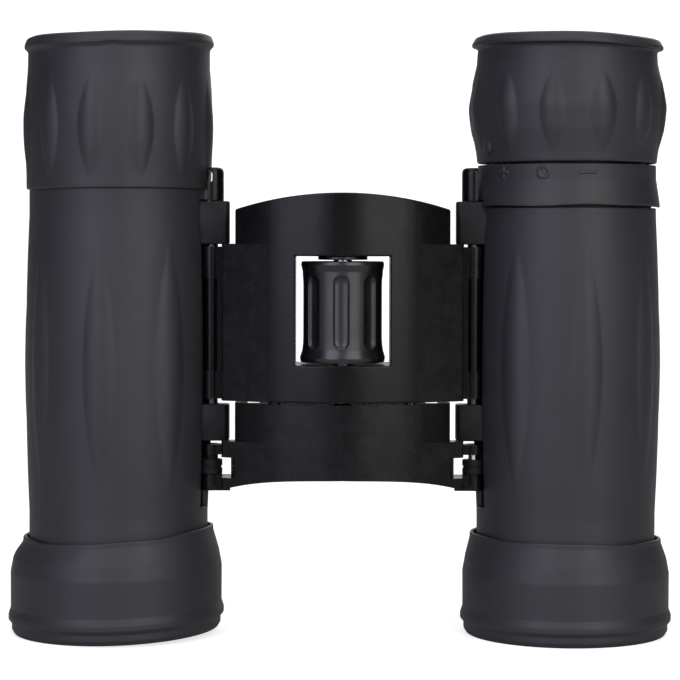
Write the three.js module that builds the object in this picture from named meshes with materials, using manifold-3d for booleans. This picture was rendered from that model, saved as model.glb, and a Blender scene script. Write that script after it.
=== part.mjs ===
// Compact folding roof-prism binoculars, 10 x 25 class, standing on their objective guards.
// Millimetres. +Z runs up along the optical axes towards the eyepieces, +X is to the right and -Y is
// the side that the focus wheel faces. The origin is midway between the barrels, on the standing plane.

import * as THREE from 'three';
import { mergeVertices } from 'three/addons/utils/BufferGeometryUtils.js';
import Module from 'manifold-3d';

const wasm = await Module();
wasm.setup();

// ---- layout --------------------------------------------------------------------------------------
const BARREL_SPACING = 74; // between the optical axes, fully unfolded
const HINGE_FORWARD = 3.5; // hinge axes lie this far in front of the optical axes
const SIDES = { left: -1, right: 1 };

// ---- fits ----------------------------------------------------------------------------------------
const SEAT = 0.3; // face gap between pieces that rest on each other
const RUN = 0.25; // radial gap of a sliding or turning fit
const SKIN_GAP = 0.15; // radial gap under a stretched rubber skin

// ---- barrel housing and its rubber ----------------------------------------------------------------
const HOUSING_BORE = 13.05;
const HOUSING_WALL = 0.85;
const HOUSING_FOOT = 3.2;
const HOUSING_TOP = 72.4;
const ARMOUR_FOOT = 9;
const ARMOUR_WALL = 0.65;
const ARMOUR_SWELL = 0.6;
const ARMOUR_FLUTES = 8;
const ARMOUR_FLUTE_MIDDLE = 44.5;
const ARMOUR_FLUTE_HALF = 19.5;
const ARMOUR_FLUTE_WIDTH = 5.3;
const FLUTE_DEPTH = 0.65;

// ---- objective guard ------------------------------------------------------------------------------
const GUARD_HEIGHT = 16.3;
const GUARD_WALL = 3.1;
const GUARD_RIM_WALL = 0.6;
const GUARD_RIM_GAP = 0.3;

// ---- objective cell -------------------------------------------------------------------------------
const FOCUS_TRAVEL = 2.5;
const CELL_FOOT = 5.4;
const CELL_TOP = 29.8;
const CELL_WALL = 0.6;
const CROWN_EDGE = 7.8;
const CROWN_THICK = 2.6;
const FLINT_THICK = 1.8;
const LENS_BULGE = 1.1;
const ARM_WIDTH = 2.2;

// ---- hinge column, from the bottom up -------------------------------------------------------------
const COLUMN_FOOT = 23.85;
const LOWER_EAR = 2.35;
const COLLAR = 2.4;
const UPPER_EAR = 2.2;
const BLOCK_GAP = 0.6;
const LOWER_BLOCK = 6.0;
const KNUCKLE_GAP = 0.9;
const LOWER_KNUCKLE = 4.5;
const ROD_BARE = 15.2;
const UPPER_KNUCKLE = 5.15;
const UPPER_BLOCK = 6.2;
const POST_HEIGHT = 5.5;
const KNUCKLE_R = 1.78;
const ROD_R = 1;
const FOCUS_PIN_R = 0.8;
const BLOCK_REACH = 2.9;
const BLOCK_HALF = 2;
const POST_R = 1.95;
const SLOT_GAP = 0.92; // between a knuckle and the slot in the armour

// ---- bridge ---------------------------------------------------------------------------------------
const HUMP_SIDE_GAP = 4.1; // from a hinge axis to the hump's side
const HUMP_FRONT = 16.6;
const HUMP_BULGE = 6.3;
const HUMP_TOP = 72.45;
const HUMP_ARCH = 2.65;
const WING_FRONT = 12.1;
const WING_MERGE = 3.95; // the wing blends into the hump this far inside the hump's side
const WING_SIDE_GAP = 1.9;
const BRIDGE_BACK = 3.8;
const COVER_THICK = 1.5;
const COVER_MARGIN = 0.4;
const POCKET_WALL = 2.1;
const WINDOW_GAP = 0.7; // beside the wheel's flared rims
const WINDOW_WALL = 1.6;
const WINDOW_FOOT = 6; // sill height above the bridge's lower face
const WINDOW_HEIGHT = 17.4;
const SCREW_R = 0.7;
const SCREW_HEAD_R = 1.3;
const SCREW_LENGTH = 3.2;

// ---- focus drive ----------------------------------------------------------------------------------
const WHEEL_BACK = 9.75; // the wheel's axis lies this far in front of the optical axes
const WHEEL_R = 6.45;
const WHEEL_FLARE = 0.45;
const WHEEL_FLUTES = 8;
const WHEEL_GRIP_WALL = 1.15;
const WASHER_R = 4;
const WASHER_THICK = 0.35;
const SPINDLE_R = 1.5;
const NUT_WALL = 1.2;
const NUT_HEIGHT = 7;
const GUIDE_ROD_R = 1;
const GUIDE_ROD_INSET = 6.36; // from the hump's side
const GUIDE_ROD_Y = -8.5;
const GUIDE_ROD_GRIP = 5;
const FOCUS_ARCH = 2.75;
const FOCUS_HAUNCH = 1.15; // the wings' undersides lie this far above the foot of the hinge column
const NOTCH_DEPTH = 3.3;

// ---- prisms ---------------------------------------------------------------------------------------
const PRISM_HALF = 8.2;
const PRISM_RISE = 16.5;
const PRISM_AIR_GAP = 0.45;
const CAGE_WALL = 0.55;
const CAGE_RING = 2.2;
const CLIP_THICK = 0.4;
const CLIP_WIDTH = 5;

// ---- eyepieces ------------------------------------------------------------------------------------
const EYE_TUBE_INSET = 8.9; // inside the housing
const EYE_TUBE_RISE = 17.6; // above the housing
const EYECUP_DEPTH = 8.2; // from the eyepiece tube's top to the cup's lip
const EYE_TUBE_BORE = 10;
const EYECUP_WALL = 2.1;
const EYECUP_FLUTES = 12;
const EYE_FLUTE_WIDTH = 4.2;
const SKIRT_HEIGHT = 6.5;
const SKIRT_OVERLAP = 2.7; // down over the housing
const SKIRT_THICK_TOP = 0.5;
const SKIRT_THICK_FOOT = 1.3;
const OCULAR_WALL = 0.8;
const EYE_LENS_DROP = 6; // below the eyepiece tube's top
const EYE_LENS_THICK = 2.4;
const FIELD_LENS_RISE = 10.5; // above the eyepiece tube's foot
const FIELD_LENS_THICK = 2.2;
const FIELD_STOP_RISE = 3.5;
const FIELD_STOP_R = 6.2;
const NECK_DROP = 4; // from the eyepiece tube's top to the top of the neck that the grip turns on
const CUP_FLUTE_END = 1.8; // from the left cup's foot to its flutes
const GRIP_FLUTE_END = 2.3;
const FLUTE_TO_LIP = 7; // from the flutes to the lip
const INDEX_RISE = 2.5; // from the grip's foot to its index bump

// ---- turns about each barrel's axis, in degrees from the front, positive towards the right ----------
const ARMOUR_FLUTE_AT = { left: -7, right: 7 };
const EYE_FLUTE_AT = { left: -12, right: -13.5 };
const INDEX_AT = -63;
const SCALE_PLUS_AT = -49;
const SCALE_NOUGHT_AT = -20;
const SCALE_MINUS_AT = 7.5;
const WHEEL_FLUTE_AT = -2;

// ---- places worked out from the sizes -------------------------------------------------------------
const HOUSING_R = HOUSING_BORE + HOUSING_WALL;
const ARMOUR_BORE = HOUSING_R + SKIN_GAP;
const ARMOUR_R = ARMOUR_BORE + ARMOUR_WALL;
const CELL_R = HOUSING_BORE - RUN;
const CELL_BORE = CELL_R - CELL_WALL;
const LENS_R = CELL_BORE - RUN;
const HINGE_OUT = HOUSING_R + KNUCKLE_R + RUN;
const HINGE_ACROSS = Math.sqrt(HINGE_OUT ** 2 - HINGE_FORWARD ** 2);
const HINGE_X = BARREL_SPACING / 2 - HINGE_ACROSS;
const HINGE_Y = -HINGE_FORWARD;
const SLOT_R = KNUCKLE_R + SLOT_GAP;
const COLLAR_Z = COLUMN_FOOT + LOWER_EAR + SEAT;
const UPPER_EAR_Z = COLLAR_Z + COLLAR + SEAT;
const WING_TOP = UPPER_EAR_Z + UPPER_EAR;
const LOWER_BLOCK_Z = WING_TOP + BLOCK_GAP;
const BRIDGE_FOOT = LOWER_BLOCK_Z + LOWER_BLOCK + KNUCKLE_GAP;
const ROD_BARE_Z = BRIDGE_FOOT + LOWER_KNUCKLE;
const UPPER_KNUCKLE_Z = ROD_BARE_Z + ROD_BARE;
const BRIDGE_WING_TOP = UPPER_KNUCKLE_Z + UPPER_KNUCKLE;
const UPPER_BLOCK_Z = BRIDGE_WING_TOP + SEAT + 0.1;
const POST_Z = UPPER_BLOCK_Z + UPPER_BLOCK + SEAT;
const FOCUS_TOP = BRIDGE_FOOT - SEAT;
const HUMP_HALF = HINGE_X - HUMP_SIDE_GAP;
const WING_HALF = HINGE_X - WING_SIDE_GAP;
const GUIDE_ROD_X = HUMP_HALF - GUIDE_ROD_INSET;
const FRAME_BACK = -(BRIDGE_BACK + COVER_THICK + SEAT);
const WINDOW_HALF = WHEEL_R + WHEEL_FLARE + WINDOW_GAP;
const WINDOW_Z = BRIDGE_FOOT + WINDOW_FOOT;
const WINDOW_TOP = WINDOW_Z + WINDOW_HEIGHT;
const WHEEL_Z = WINDOW_Z + SEAT;
const WHEEL_TOP = WINDOW_TOP - 2 * RUN - WASHER_THICK;
const EYE_TUBE_R = HOUSING_BORE - RUN;
const EYE_TUBE_FOOT = HOUSING_TOP - EYE_TUBE_INSET;
const EYE_TUBE_TOP = HOUSING_TOP + EYE_TUBE_RISE;
const EYE_TOP = EYE_TUBE_TOP + EYECUP_DEPTH;
const EYE_LENS_EDGE = EYE_TUBE_TOP - EYE_LENS_DROP;
const FIELD_LENS_EDGE = EYE_TUBE_FOOT + FIELD_LENS_RISE;
const FIELD_STOP_Z = EYE_TUBE_FOOT + FIELD_STOP_RISE;
const EYECUP_BORE = EYE_TUBE_R + RUN;
const EYECUP_FOOT = HOUSING_TOP + SEAT;
const SKIRT_FOOT = HOUSING_TOP - SKIRT_OVERLAP;
const SKIRT_TOP = SKIRT_FOOT + SKIRT_HEIGHT;
const GRIP_FOOT = SKIRT_TOP + SEAT;

// ---- facets round a full turn ---------------------------------------------------------------------
const FINE = 24; // outer skins
const PLAIN = 16; // tubes, rings and lenses
const SMALL = 12; // rods, pins and caps
const ARC_STEPS = 8; // along each shallow arc of the bridges

// ---- solid helpers --------------------------------------------------------------------------------

// Joins shared corners and drops the collapsed triangles that lie on a turning axis.
function welded(geometry) {
  const bare = geometry.clone();
  bare.deleteAttribute('normal');
  bare.deleteAttribute('uv');
  const merged = mergeVertices(bare, 1e-4);
  const source = merged.index.array;
  const kept = [];
  for (let i = 0; i < source.length; i += 3) {
    const [a, b, c] = [source[i], source[i + 1], source[i + 2]];
    if (a !== b && b !== c && a !== c) kept.push(a, b, c);
  }
  merged.setIndex(kept);
  return merged;
}

function solid(geometry) {
  const closed = welded(geometry);
  return new wasm.Manifold(new wasm.Mesh({
    numProp: 3,
    vertProperties: new Float32Array(closed.attributes.position.array),
    triVerts: new Uint32Array(closed.index.array),
  }));
}

function surface(body) {
  const mesh = body.getMesh();
  const geometry = new THREE.BufferGeometry();
  geometry.setAttribute('position', new THREE.BufferAttribute(new Float32Array(mesh.vertProperties), 3));
  geometry.setIndex(new THREE.BufferAttribute(new Uint32Array(mesh.triVerts), 1));
  return geometry;
}

// A turned solid about Z. The outline is a closed loop of [radius, height] corners.
function turned(outline, segments = FINE) {
  let area = 0;
  outline.forEach(([r, z], i) => {
    const [nextR, nextZ] = outline[(i + 1) % outline.length];
    area += r * nextZ - nextR * z;
  });
  const loop = area > 0 ? [...outline] : [...outline].reverse();
  const points = [...loop, loop[0]].map(([r, z]) => new THREE.Vector2(r, z));
  return solid(new THREE.LatheGeometry(points, segments).rotateX(Math.PI / 2));
}

// A turned piece whose outline starts and ends on the axis.
function turnedSolid(outline, segments = SMALL) {
  const points = outline.map(([r, z]) => new THREE.Vector2(r, z));
  return solid(new THREE.LatheGeometry(points, segments).rotateX(Math.PI / 2));
}

function ring(inner, outer, low, high, segments = PLAIN) {
  return turned([[inner, low], [outer, low], [outer, high], [inner, high]], segments);
}

function rod(radius, low, high, x = 0, y = 0, segments = SMALL) {
  const geometry = new THREE.CylinderGeometry(radius, radius, high - low, segments);
  return solid(geometry.rotateX(Math.PI / 2).translate(x, y, (low + high) / 2));
}

function block(x, y, z) {
  const size = [x, y, z].map(([low, high]) => high - low);
  const middle = [x, y, z].map(([low, high]) => (low + high) / 2);
  return solid(new THREE.BoxGeometry(...size).translate(...middle));
}

// A plan outline in x and y, raised from low to high.
function raised(shape, low, high) {
  const options = { depth: high - low, bevelEnabled: false };
  const geometry = new THREE.ExtrudeGeometry(shape, options);
  return solid(geometry.translate(0, 0, low));
}

// A front outline in x and z, carried along Y from front to back.
function carried(shape, front, back) {
  const options = { depth: back - front, bevelEnabled: false };
  const geometry = new THREE.ExtrudeGeometry(shape, options);
  return solid(geometry.rotateX(Math.PI / 2).translate(0, back, 0));
}

function polygon(points) {
  return new THREE.Shape(points.map(([x, y]) => new THREE.Vector2(x, y)));
}

function radiusOfArc(halfChord, sagitta) {
  return (halfChord ** 2 + sagitta ** 2) / (2 * sagitta);
}

// Corners along a shallow arc: its crown is at [0, crown], and it falls by sagitta at +-halfChord.
function arcCorners(halfChord, crown, sagitta, steps) {
  const radius = radiusOfArc(halfChord, sagitta);
  const spread = Math.asin(halfChord / radius);
  return Array.from({ length: steps + 1 }, (_, i) => {
    const turn = spread * (2 * i / steps - 1);
    return [radius * Math.sin(turn), crown - radius * (1 - Math.cos(turn))];
  });
}

// ---- finishes -------------------------------------------------------------------------------------
const finishes = {
  armour: { color: 0x2a2a30, roughness: 0.62, metalness: 0 },
  bridge: { color: 0x121215, roughness: 0.5, metalness: 0 },
  grip: { color: 0x1a1a1d, roughness: 0.35, metalness: 0 },
  casing: { color: 0x17171a, roughness: 0.55, metalness: 0 },
  inner: { color: 0x0c0c0d, roughness: 0.8, metalness: 0 },
  steel: { color: 0x8d9094, roughness: 0.3, metalness: 1 },
  blackSteel: { color: 0x2b2c2f, roughness: 0.35, metalness: 0.9 },
  brass: { color: 0xb5954f, roughness: 0.35, metalness: 1 },
  glass: { color: 0xcfe0e6, roughness: 0.05, metalness: 0 },
  coated: { color: 0x8a5a78, roughness: 0.05, metalness: 0 },
};

const binoculars = new THREE.Group();

function add(parent, name, body, finish) {
  const mesh = new THREE.Mesh(surface(body), new THREE.MeshStandardMaterial(finishes[finish]));
  mesh.name = name;
  parent.add(mesh);
}

// ---- flutes ---------------------------------------------------------------------------------------

// Long oval cutters set round a barrel so that each leaves a pointed hollow of the given width and
// half length in a surface of the given radius.
function fluteCutters({ count, phase, radius, depth, width, half, middle }) {
  const reach = 2.4;
  const share = Math.sqrt(1 - ((reach - depth) / reach) ** 2);
  const cutters = [];
  for (let i = 0; i < count; i += 1) {
    const cutter = new THREE.SphereGeometry(1, 8, 6);
    cutter.rotateX(Math.PI / 2);
    cutter.scale(width / 2 / share, reach, half / share);
    cutter.translate(0, -(radius - depth + reach), middle);
    cutter.rotateZ(phase + (i * 2 * Math.PI) / count);
    cutters.push(solid(cutter));
  }
  return cutters;
}

function fluted(body, options) {
  return fluteCutters(options).reduce((left, cutter) => left.subtract(cutter), body);
}

const degrees = (angle) => (angle * Math.PI) / 180;

// ---- barrel pieces, each in its barrel's own frame -------------------------------------------------

// The hinge axis as seen from the barrel's own axis.
function hingeOf(side) {
  return { x: -side * HINGE_ACROSS, y: HINGE_Y };
}

// A hinge block that stands out of the housing and takes the hinge rod.
function hingeBlock(side, low, high, clearance = 0) {
  const { x, y } = hingeOf(side);
  const inner = x - side * (BLOCK_REACH + clearance);
  const outer = x + side * (KNUCKLE_R + RUN + HOUSING_WALL + clearance);
  const half = BLOCK_HALF + clearance;
  const corner = 0.5;
  return raised(polygon([
    [outer, y - half],
    [outer, y + half],
    [inner + side * corner, y + half],
    [inner, y + half - corner],
    [inner, y - half + corner],
    [inner + side * corner, y - half],
  ]), low - clearance, high + clearance);
}

function housing(side) {
  const { x, y } = hingeOf(side);
  const bodyTop = UPPER_BLOCK_Z + UPPER_BLOCK;
  const toHinge = Math.atan2(y, x);
  const slotHalf = ARM_WIDTH / 2 + SEAT;
  const slot = new THREE.BoxGeometry(HOUSING_WALL * 4, slotHalf * 2, COLLAR + 2 * SEAT + FOCUS_TRAVEL);
  slot.translate(HOUSING_R, 0, COLLAR_Z + COLLAR / 2 - FOCUS_TRAVEL / 2);
  slot.rotateZ(toHinge);
  return rod(HOUSING_R, HOUSING_FOOT, HOUSING_TOP, 0, 0, FINE)
    .add(hingeBlock(side, LOWER_BLOCK_Z, LOWER_BLOCK_Z + LOWER_BLOCK))
    .add(hingeBlock(side, UPPER_BLOCK_Z, bodyTop))
    .subtract(rod(HOUSING_BORE, HOUSING_FOOT - 1, HOUSING_TOP + 1, 0, 0, FINE))
    .subtract(rod(ROD_R + RUN, LOWER_BLOCK_Z - 1, bodyTop + 1, x, y))
    .subtract(solid(slot));
}

function armour(side, top, phase) {
  const { x, y } = hingeOf(side);
  const middle = ARMOUR_FLUTE_MIDDLE;
  const steps = 8;
  const outline = [[ARMOUR_BORE, top], [ARMOUR_BORE, ARMOUR_FOOT], [ARMOUR_R, ARMOUR_FOOT]];
  for (let i = 0; i <= steps; i += 1) {
    const along = (2 * i) / steps - 1;
    const z = middle + along * (ARMOUR_FLUTE_HALF + 5);
    outline.push([ARMOUR_R + ARMOUR_SWELL * (1 - along ** 2), z]);
  }
  outline.push([ARMOUR_R, top]);
  const slotFoot = COLUMN_FOOT - FOCUS_TRAVEL - SEAT;
  return fluted(turned(outline), {
    count: ARMOUR_FLUTES,
    phase,
    radius: ARMOUR_R + ARMOUR_SWELL,
    depth: FLUTE_DEPTH,
    width: ARMOUR_FLUTE_WIDTH,
    half: ARMOUR_FLUTE_HALF,
    middle,
  })
    .subtract(rod(SLOT_R, slotFoot, HOUSING_TOP + 1, x, y))
    .subtract(hingeBlock(side, LOWER_BLOCK_Z, LOWER_BLOCK_Z + LOWER_BLOCK, SEAT))
    .subtract(hingeBlock(side, UPPER_BLOCK_Z, UPPER_BLOCK_Z + UPPER_BLOCK, SEAT));
}

function guard() {
  const bore = HOUSING_R + SKIN_GAP;
  const lip = HOUSING_BORE + SKIN_GAP;
  const outer = bore + GUARD_WALL;
  const rimBore = ARMOUR_R + GUARD_RIM_GAP;
  return turned([
    [lip, 0],
    [outer - 0.75, 0],
    [outer - 0.3, 0.7],
    [outer - 0.3, 1.7],
    [outer + 0.25, 2.3],
    [outer + 0.25, 3.3],
    [outer - 0.1, 4.2],
    [outer - 0.1, 10.6],
    [outer - 0.6, 12.4],
    [rimBore + GUARD_RIM_WALL, GUARD_HEIGHT - 1],
    [rimBore + GUARD_RIM_WALL, GUARD_HEIGHT],
    [rimBore, GUARD_HEIGHT],
    [rimBore, ARMOUR_FOOT - SEAT],
    [bore, ARMOUR_FOOT - SEAT],
    [bore, HOUSING_FOOT - SEAT],
    [lip, HOUSING_FOOT - SEAT],
  ]);
}

// The sliding cell of the objective. Its arm leaves through the housing's slot and ends in a collar
// on the hinge axis, between the ears of the focus bridge.
function objectiveCell(side) {
  const { x, y } = hingeOf(side);
  const arm = new THREE.BoxGeometry(HINGE_OUT - CELL_R + CELL_WALL / 2, ARM_WIDTH, COLLAR);
  arm.translate((HINGE_OUT + CELL_R - CELL_WALL / 2) / 2, 0, COLLAR_Z + COLLAR / 2);
  arm.rotateZ(Math.atan2(y, x));
  return ring(CELL_BORE, CELL_R, CELL_FOOT, CELL_TOP)
    .add(solid(arm))
    .add(rod(KNUCKLE_R, COLLAR_Z, COLLAR_Z + COLLAR, x, y))
    .subtract(rod(FOCUS_PIN_R + RUN, COLLAR_Z - 1, COLLAR_Z + COLLAR + 1, x, y));
}

// A lens between two shallow arcs. Positive bulges stand outwards, negative ones are hollow.
function lens(radius, low, thick, lowerBulge, upperBulge) {
  const steps = 2;
  const lower = [];
  const upper = [];
  for (let i = 0; i <= steps; i += 1) {
    const r = (radius * i) / steps;
    const fall = 1 - (r / radius) ** 2;
    lower.push([r, low - lowerBulge * fall]);
    upper.unshift([r, low + thick + upperBulge * fall]);
  }
  return turnedSolid([...lower, ...upper], PLAIN);
}

function objectiveParts(group, sideName, side) {
  const flintEdge = CROWN_EDGE + CROWN_THICK + SEAT;
  add(group, `${sideName}_objective_cell`, objectiveCell(side), 'inner');
  add(group, `${sideName}_objective_crown_lens`,
    lens(LENS_R, CROWN_EDGE, CROWN_THICK, LENS_BULGE, LENS_BULGE), 'coated');
  add(group, `${sideName}_objective_flint_lens`,
    lens(LENS_R, flintEdge, FLINT_THICK, -LENS_BULGE, 0), 'glass');
  add(group, `${sideName}_objective_retainer`,
    ring(LENS_R - 1, LENS_R, CELL_FOOT + SEAT, CROWN_EDGE - SEAT), 'inner');
}

// ---- prisms ---------------------------------------------------------------------------------------
const CAGE_R = HOUSING_BORE - RUN;
const CAGE_FOOT = CELL_TOP + 2 * SEAT;
const CAGE_TOP = EYE_TUBE_FOOT - 2 * SEAT;
const PRISM_FOOT = (CAGE_FOOT + CAGE_TOP - PRISM_RISE) / 2;
const LEAN = Math.tan(degrees(22.5));

// An outline in x and z (from the prism pair's foot), carried across the barrel and kept round enough
// for the cage.
function prismBlock(outline) {
  const across = carried(polygon(outline.map(([x, z]) => [x, z + PRISM_FOOT])), -PRISM_HALF, PRISM_HALF);
  return across.intersect(rod(CAGE_R - CAGE_WALL - RUN, PRISM_FOOT, PRISM_FOOT + PRISM_RISE, 0, 0, FINE));
}

// The half-penta prism takes the light in through its foot and passes it on through its 45 degree face.
function halfPentaPrism() {
  const foot = PRISM_HALF * 0.5;
  const shoulder = (PRISM_HALF - foot) / LEAN;
  return prismBlock([
    [-PRISM_HALF, 0],
    [foot, 0],
    [PRISM_HALF, shoulder],
    [PRISM_HALF, PRISM_RISE - PRISM_AIR_GAP],
  ]);
}

// The roof prism sits on the 45 degree face. Its leaning side is a right-angled roof.
function roofPrism() {
  const rise = PRISM_HALF + PRISM_AIR_GAP;
  const foot = -PRISM_HALF * 0.5;
  const shoulder = foot + rise + (PRISM_HALF + foot) / LEAN;
  const body = prismBlock([
    [foot, foot + rise],
    [PRISM_RISE - rise, PRISM_RISE],
    [-PRISM_HALF, PRISM_RISE],
    [-PRISM_HALF, Math.min(shoulder, PRISM_RISE - 1)],
  ]);
  const wedge = new THREE.BoxGeometry(PRISM_HALF * 3, PRISM_HALF * 3, PRISM_RISE * 3);
  wedge.rotateZ(Math.PI / 4);
  wedge.translate(PRISM_HALF * 1.5 * Math.SQRT2, 0, 0);
  wedge.rotateY(degrees(-22.5));
  wedge.translate(foot, 0, foot + rise + PRISM_FOOT);
  return body.intersect(solid(wedge));
}

// A tube with its two flanks cut away, so that the prisms go in from the side.
function prismCage() {
  const bore = CAGE_R - CAGE_WALL;
  const opening = PRISM_HALF * 0.9;
  return ring(bore, CAGE_R, CAGE_FOOT, CAGE_TOP)
    .subtract(block([-CAGE_R - 1, CAGE_R + 1], [-opening, opening],
      [CAGE_FOOT + CAGE_RING, CAGE_TOP - CAGE_RING]));
}

// A spring strip over the roof prism's top face, with its two legs down the cage's open flanks.
function prismClip() {
  const top = PRISM_FOOT + PRISM_RISE + SEAT;
  const legOut = PRISM_HALF + SEAT;
  const half = CLIP_WIDTH / 2;
  const leg = 7;
  const shape = polygon([
    [-legOut - CLIP_THICK, top + CLIP_THICK],
    [-legOut - CLIP_THICK, top - leg],
    [-legOut, top - leg],
    [-legOut, top],
    [legOut, top],
    [legOut, top - leg],
    [legOut + CLIP_THICK, top - leg],
    [legOut + CLIP_THICK, top + CLIP_THICK],
  ]);
  const aperture = rod(CLIP_WIDTH * 0.36, top - 1, top + 1);
  return carried(shape, -half, half).subtract(aperture);
}

function prismParts(group, sideName) {
  add(group, `${sideName}_prism_cage`, prismCage(), 'inner');
  add(group, `${sideName}_half_penta_prism`, halfPentaPrism(), 'glass');
  add(group, `${sideName}_roof_prism`, roofPrism(), 'glass');
  add(group, `${sideName}_prism_clip`, prismClip(), 'steel');
}

// ---- eyepieces ------------------------------------------------------------------------------------

// A rubber eyecup from its foot to the rolled lip. The bulge is its fullest radius half way up.
function eyecup(foot, bulge, footR, neck) {
  const middle = foot + (EYE_TOP - foot) * 0.45;
  const lipR = footR + 0.5;
  const shoulder = EYE_TUBE_TOP + SEAT;
  return turned([
    [EYECUP_BORE, foot],
    [footR, foot],
    [(footR + bulge) / 2 + 0.1, foot + (middle - foot) * 0.4],
    [bulge, middle],
    [(neck + bulge) / 2 + 0.1, middle + (EYE_TOP - 3 - middle) * 0.6],
    [neck, EYE_TOP - 3],
    [lipR, EYE_TOP - 2.1],
    [lipR, EYE_TOP - 1.6],
    [EYECUP_BORE + 0.7, EYE_TOP],
    [EYECUP_BORE - 0.1, EYE_TOP - 0.2],
    [EYECUP_BORE - EYECUP_WALL + 0.4, shoulder + 2],
    [EYE_TUBE_BORE + 0.4, shoulder + 0.8],
    [EYE_TUBE_BORE + 0.4, shoulder],
    [EYECUP_BORE, shoulder],
  ]);
}

function eyeFlutes(at, foot, top, bulge) {
  return {
    count: EYECUP_FLUTES,
    phase: degrees(at),
    radius: bulge,
    depth: FLUTE_DEPTH,
    width: EYE_FLUTE_WIDTH,
    half: (top - foot) / 2,
    middle: (foot + top) / 2,
  };
}

function ocularLenses(group, sideName, radius) {
  add(group, `${sideName}_field_lens`, lens(radius, FIELD_LENS_EDGE, FIELD_LENS_THICK, 0.4, 1.4), 'glass');
  add(group, `${sideName}_eye_lens`, lens(radius, EYE_LENS_EDGE, EYE_LENS_THICK, 1.6, 0.6), 'coated');
  const seat = EYE_LENS_EDGE + EYE_LENS_THICK + SEAT;
  add(group, `${sideName}_eyepiece_retainer`, ring(radius - 1.4, radius, seat, seat + 1.4), 'inner');
}

function leftEyepiece(group) {
  const stop = EYE_TUBE_BORE - RUN;
  add(group, 'left_eyepiece_tube', ring(EYE_TUBE_BORE, EYE_TUBE_R, EYE_TUBE_FOOT, EYE_TUBE_TOP), 'casing');
  add(group, 'left_field_stop', ring(FIELD_STOP_R, stop, FIELD_STOP_Z, FIELD_STOP_Z + 1), 'inner');
  ocularLenses(group, 'left', EYE_TUBE_BORE - RUN);
  const bulge = ARMOUR_R + 0.75;
  const cup = eyecup(EYECUP_FOOT, bulge, bulge - 0.25, bulge - 0.55);
  const flutes = eyeFlutes(EYE_FLUTE_AT.left, EYECUP_FOOT + CUP_FLUTE_END, EYE_TOP - FLUTE_TO_LIP, bulge);
  add(group, 'left_eyecup', fluted(cup, flutes), 'armour');
}

// The right eyepiece turns for the diopter setting: the grip and its core turn on the fixed tube, and
// the ocular cell rides up inside it.
function rightEyepiece(group) {
  const flange = HOUSING_R - 0.05;
  const coreBore = EYE_TUBE_R - 1;
  const neckR = coreBore - RUN;
  const tubeBore = neckR - 0.75;
  const cellR = tubeBore - RUN;
  const cellBore = cellR - OCULAR_WALL;
  add(group, 'right_eyepiece_tube', turned([
    [tubeBore, EYE_TUBE_FOOT],
    [EYE_TUBE_R, EYE_TUBE_FOOT],
    [EYE_TUBE_R, EYECUP_FOOT],
    [flange, EYECUP_FOOT],
    [flange, SKIRT_TOP],
    [neckR, SKIRT_TOP],
    [neckR, EYE_TUBE_TOP - NECK_DROP],
    [tubeBore, EYE_TUBE_TOP - NECK_DROP],
  ]), 'casing');
  add(group, 'right_field_stop', ring(FIELD_STOP_R, tubeBore - RUN, FIELD_STOP_Z, FIELD_STOP_Z + 1), 'inner');
  add(group, 'right_ocular_cell', ring(cellBore, cellR, FIELD_LENS_EDGE - 2.5, EYE_TUBE_TOP - 1.6), 'inner');
  ocularLenses(group, 'right', cellBore - RUN);
  add(group, 'right_diopter_core', turned([
    [coreBore, GRIP_FOOT],
    [EYE_TUBE_R, GRIP_FOOT],
    [EYE_TUBE_R, EYE_TUBE_TOP],
    [cellR + 0.5, EYE_TUBE_TOP],
    [cellR + 0.5, EYE_TUBE_TOP - 1],
    [coreBore, EYE_TUBE_TOP - 1],
  ]), 'casing');
  const bulge = ARMOUR_R + 1.25;
  const cup = eyecup(GRIP_FOOT, bulge, bulge - 0.75, bulge - 1.1);
  const index = new THREE.SphereGeometry(1, 8, 6).scale(0.8, 0.5, 1.3);
  index.translate(0, -(bulge - 0.45), GRIP_FOOT + INDEX_RISE);
  index.rotateZ(degrees(INDEX_AT));
  const flutes = eyeFlutes(EYE_FLUTE_AT.right, GRIP_FOOT + GRIP_FLUTE_END, EYE_TOP - FLUTE_TO_LIP, bulge);
  add(group, 'right_eyecup', fluted(cup, flutes).add(solid(index)), 'armour');
}

// Raised plus, nought and minus on the scale skirt.
function scaleMarks() {
  const z = SKIRT_TOP - 1.05;
  const face = ARMOUR_R + 0.1;
  const bar = (wide, tall) => new THREE.BoxGeometry(wide, 0.8, tall);
  const nought = new THREE.Shape();
  nought.absellipse(0, 0, 0.6, 0.7, 0, Math.PI * 2);
  const hole = new THREE.Path();
  hole.absellipse(0, 0, 0.3, 0.4, 0, Math.PI * 2);
  nought.holes.push(hole);
  const oval = new THREE.ExtrudeGeometry(nought, { depth: 0.8, bevelEnabled: false, curveSegments: 4 });
  oval.rotateX(Math.PI / 2).translate(0, 0.4, 0);
  const marks = [
    [SCALE_PLUS_AT, bar(1.4, 0.35)],
    [SCALE_PLUS_AT, bar(0.35, 1.4)],
    [SCALE_NOUGHT_AT, oval],
    [SCALE_MINUS_AT, bar(1.9, 0.4)],
  ];
  return marks.map(([angle, shape]) => solid(shape.translate(0, -face + 0.15, z).rotateZ(degrees(angle))));
}

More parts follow.
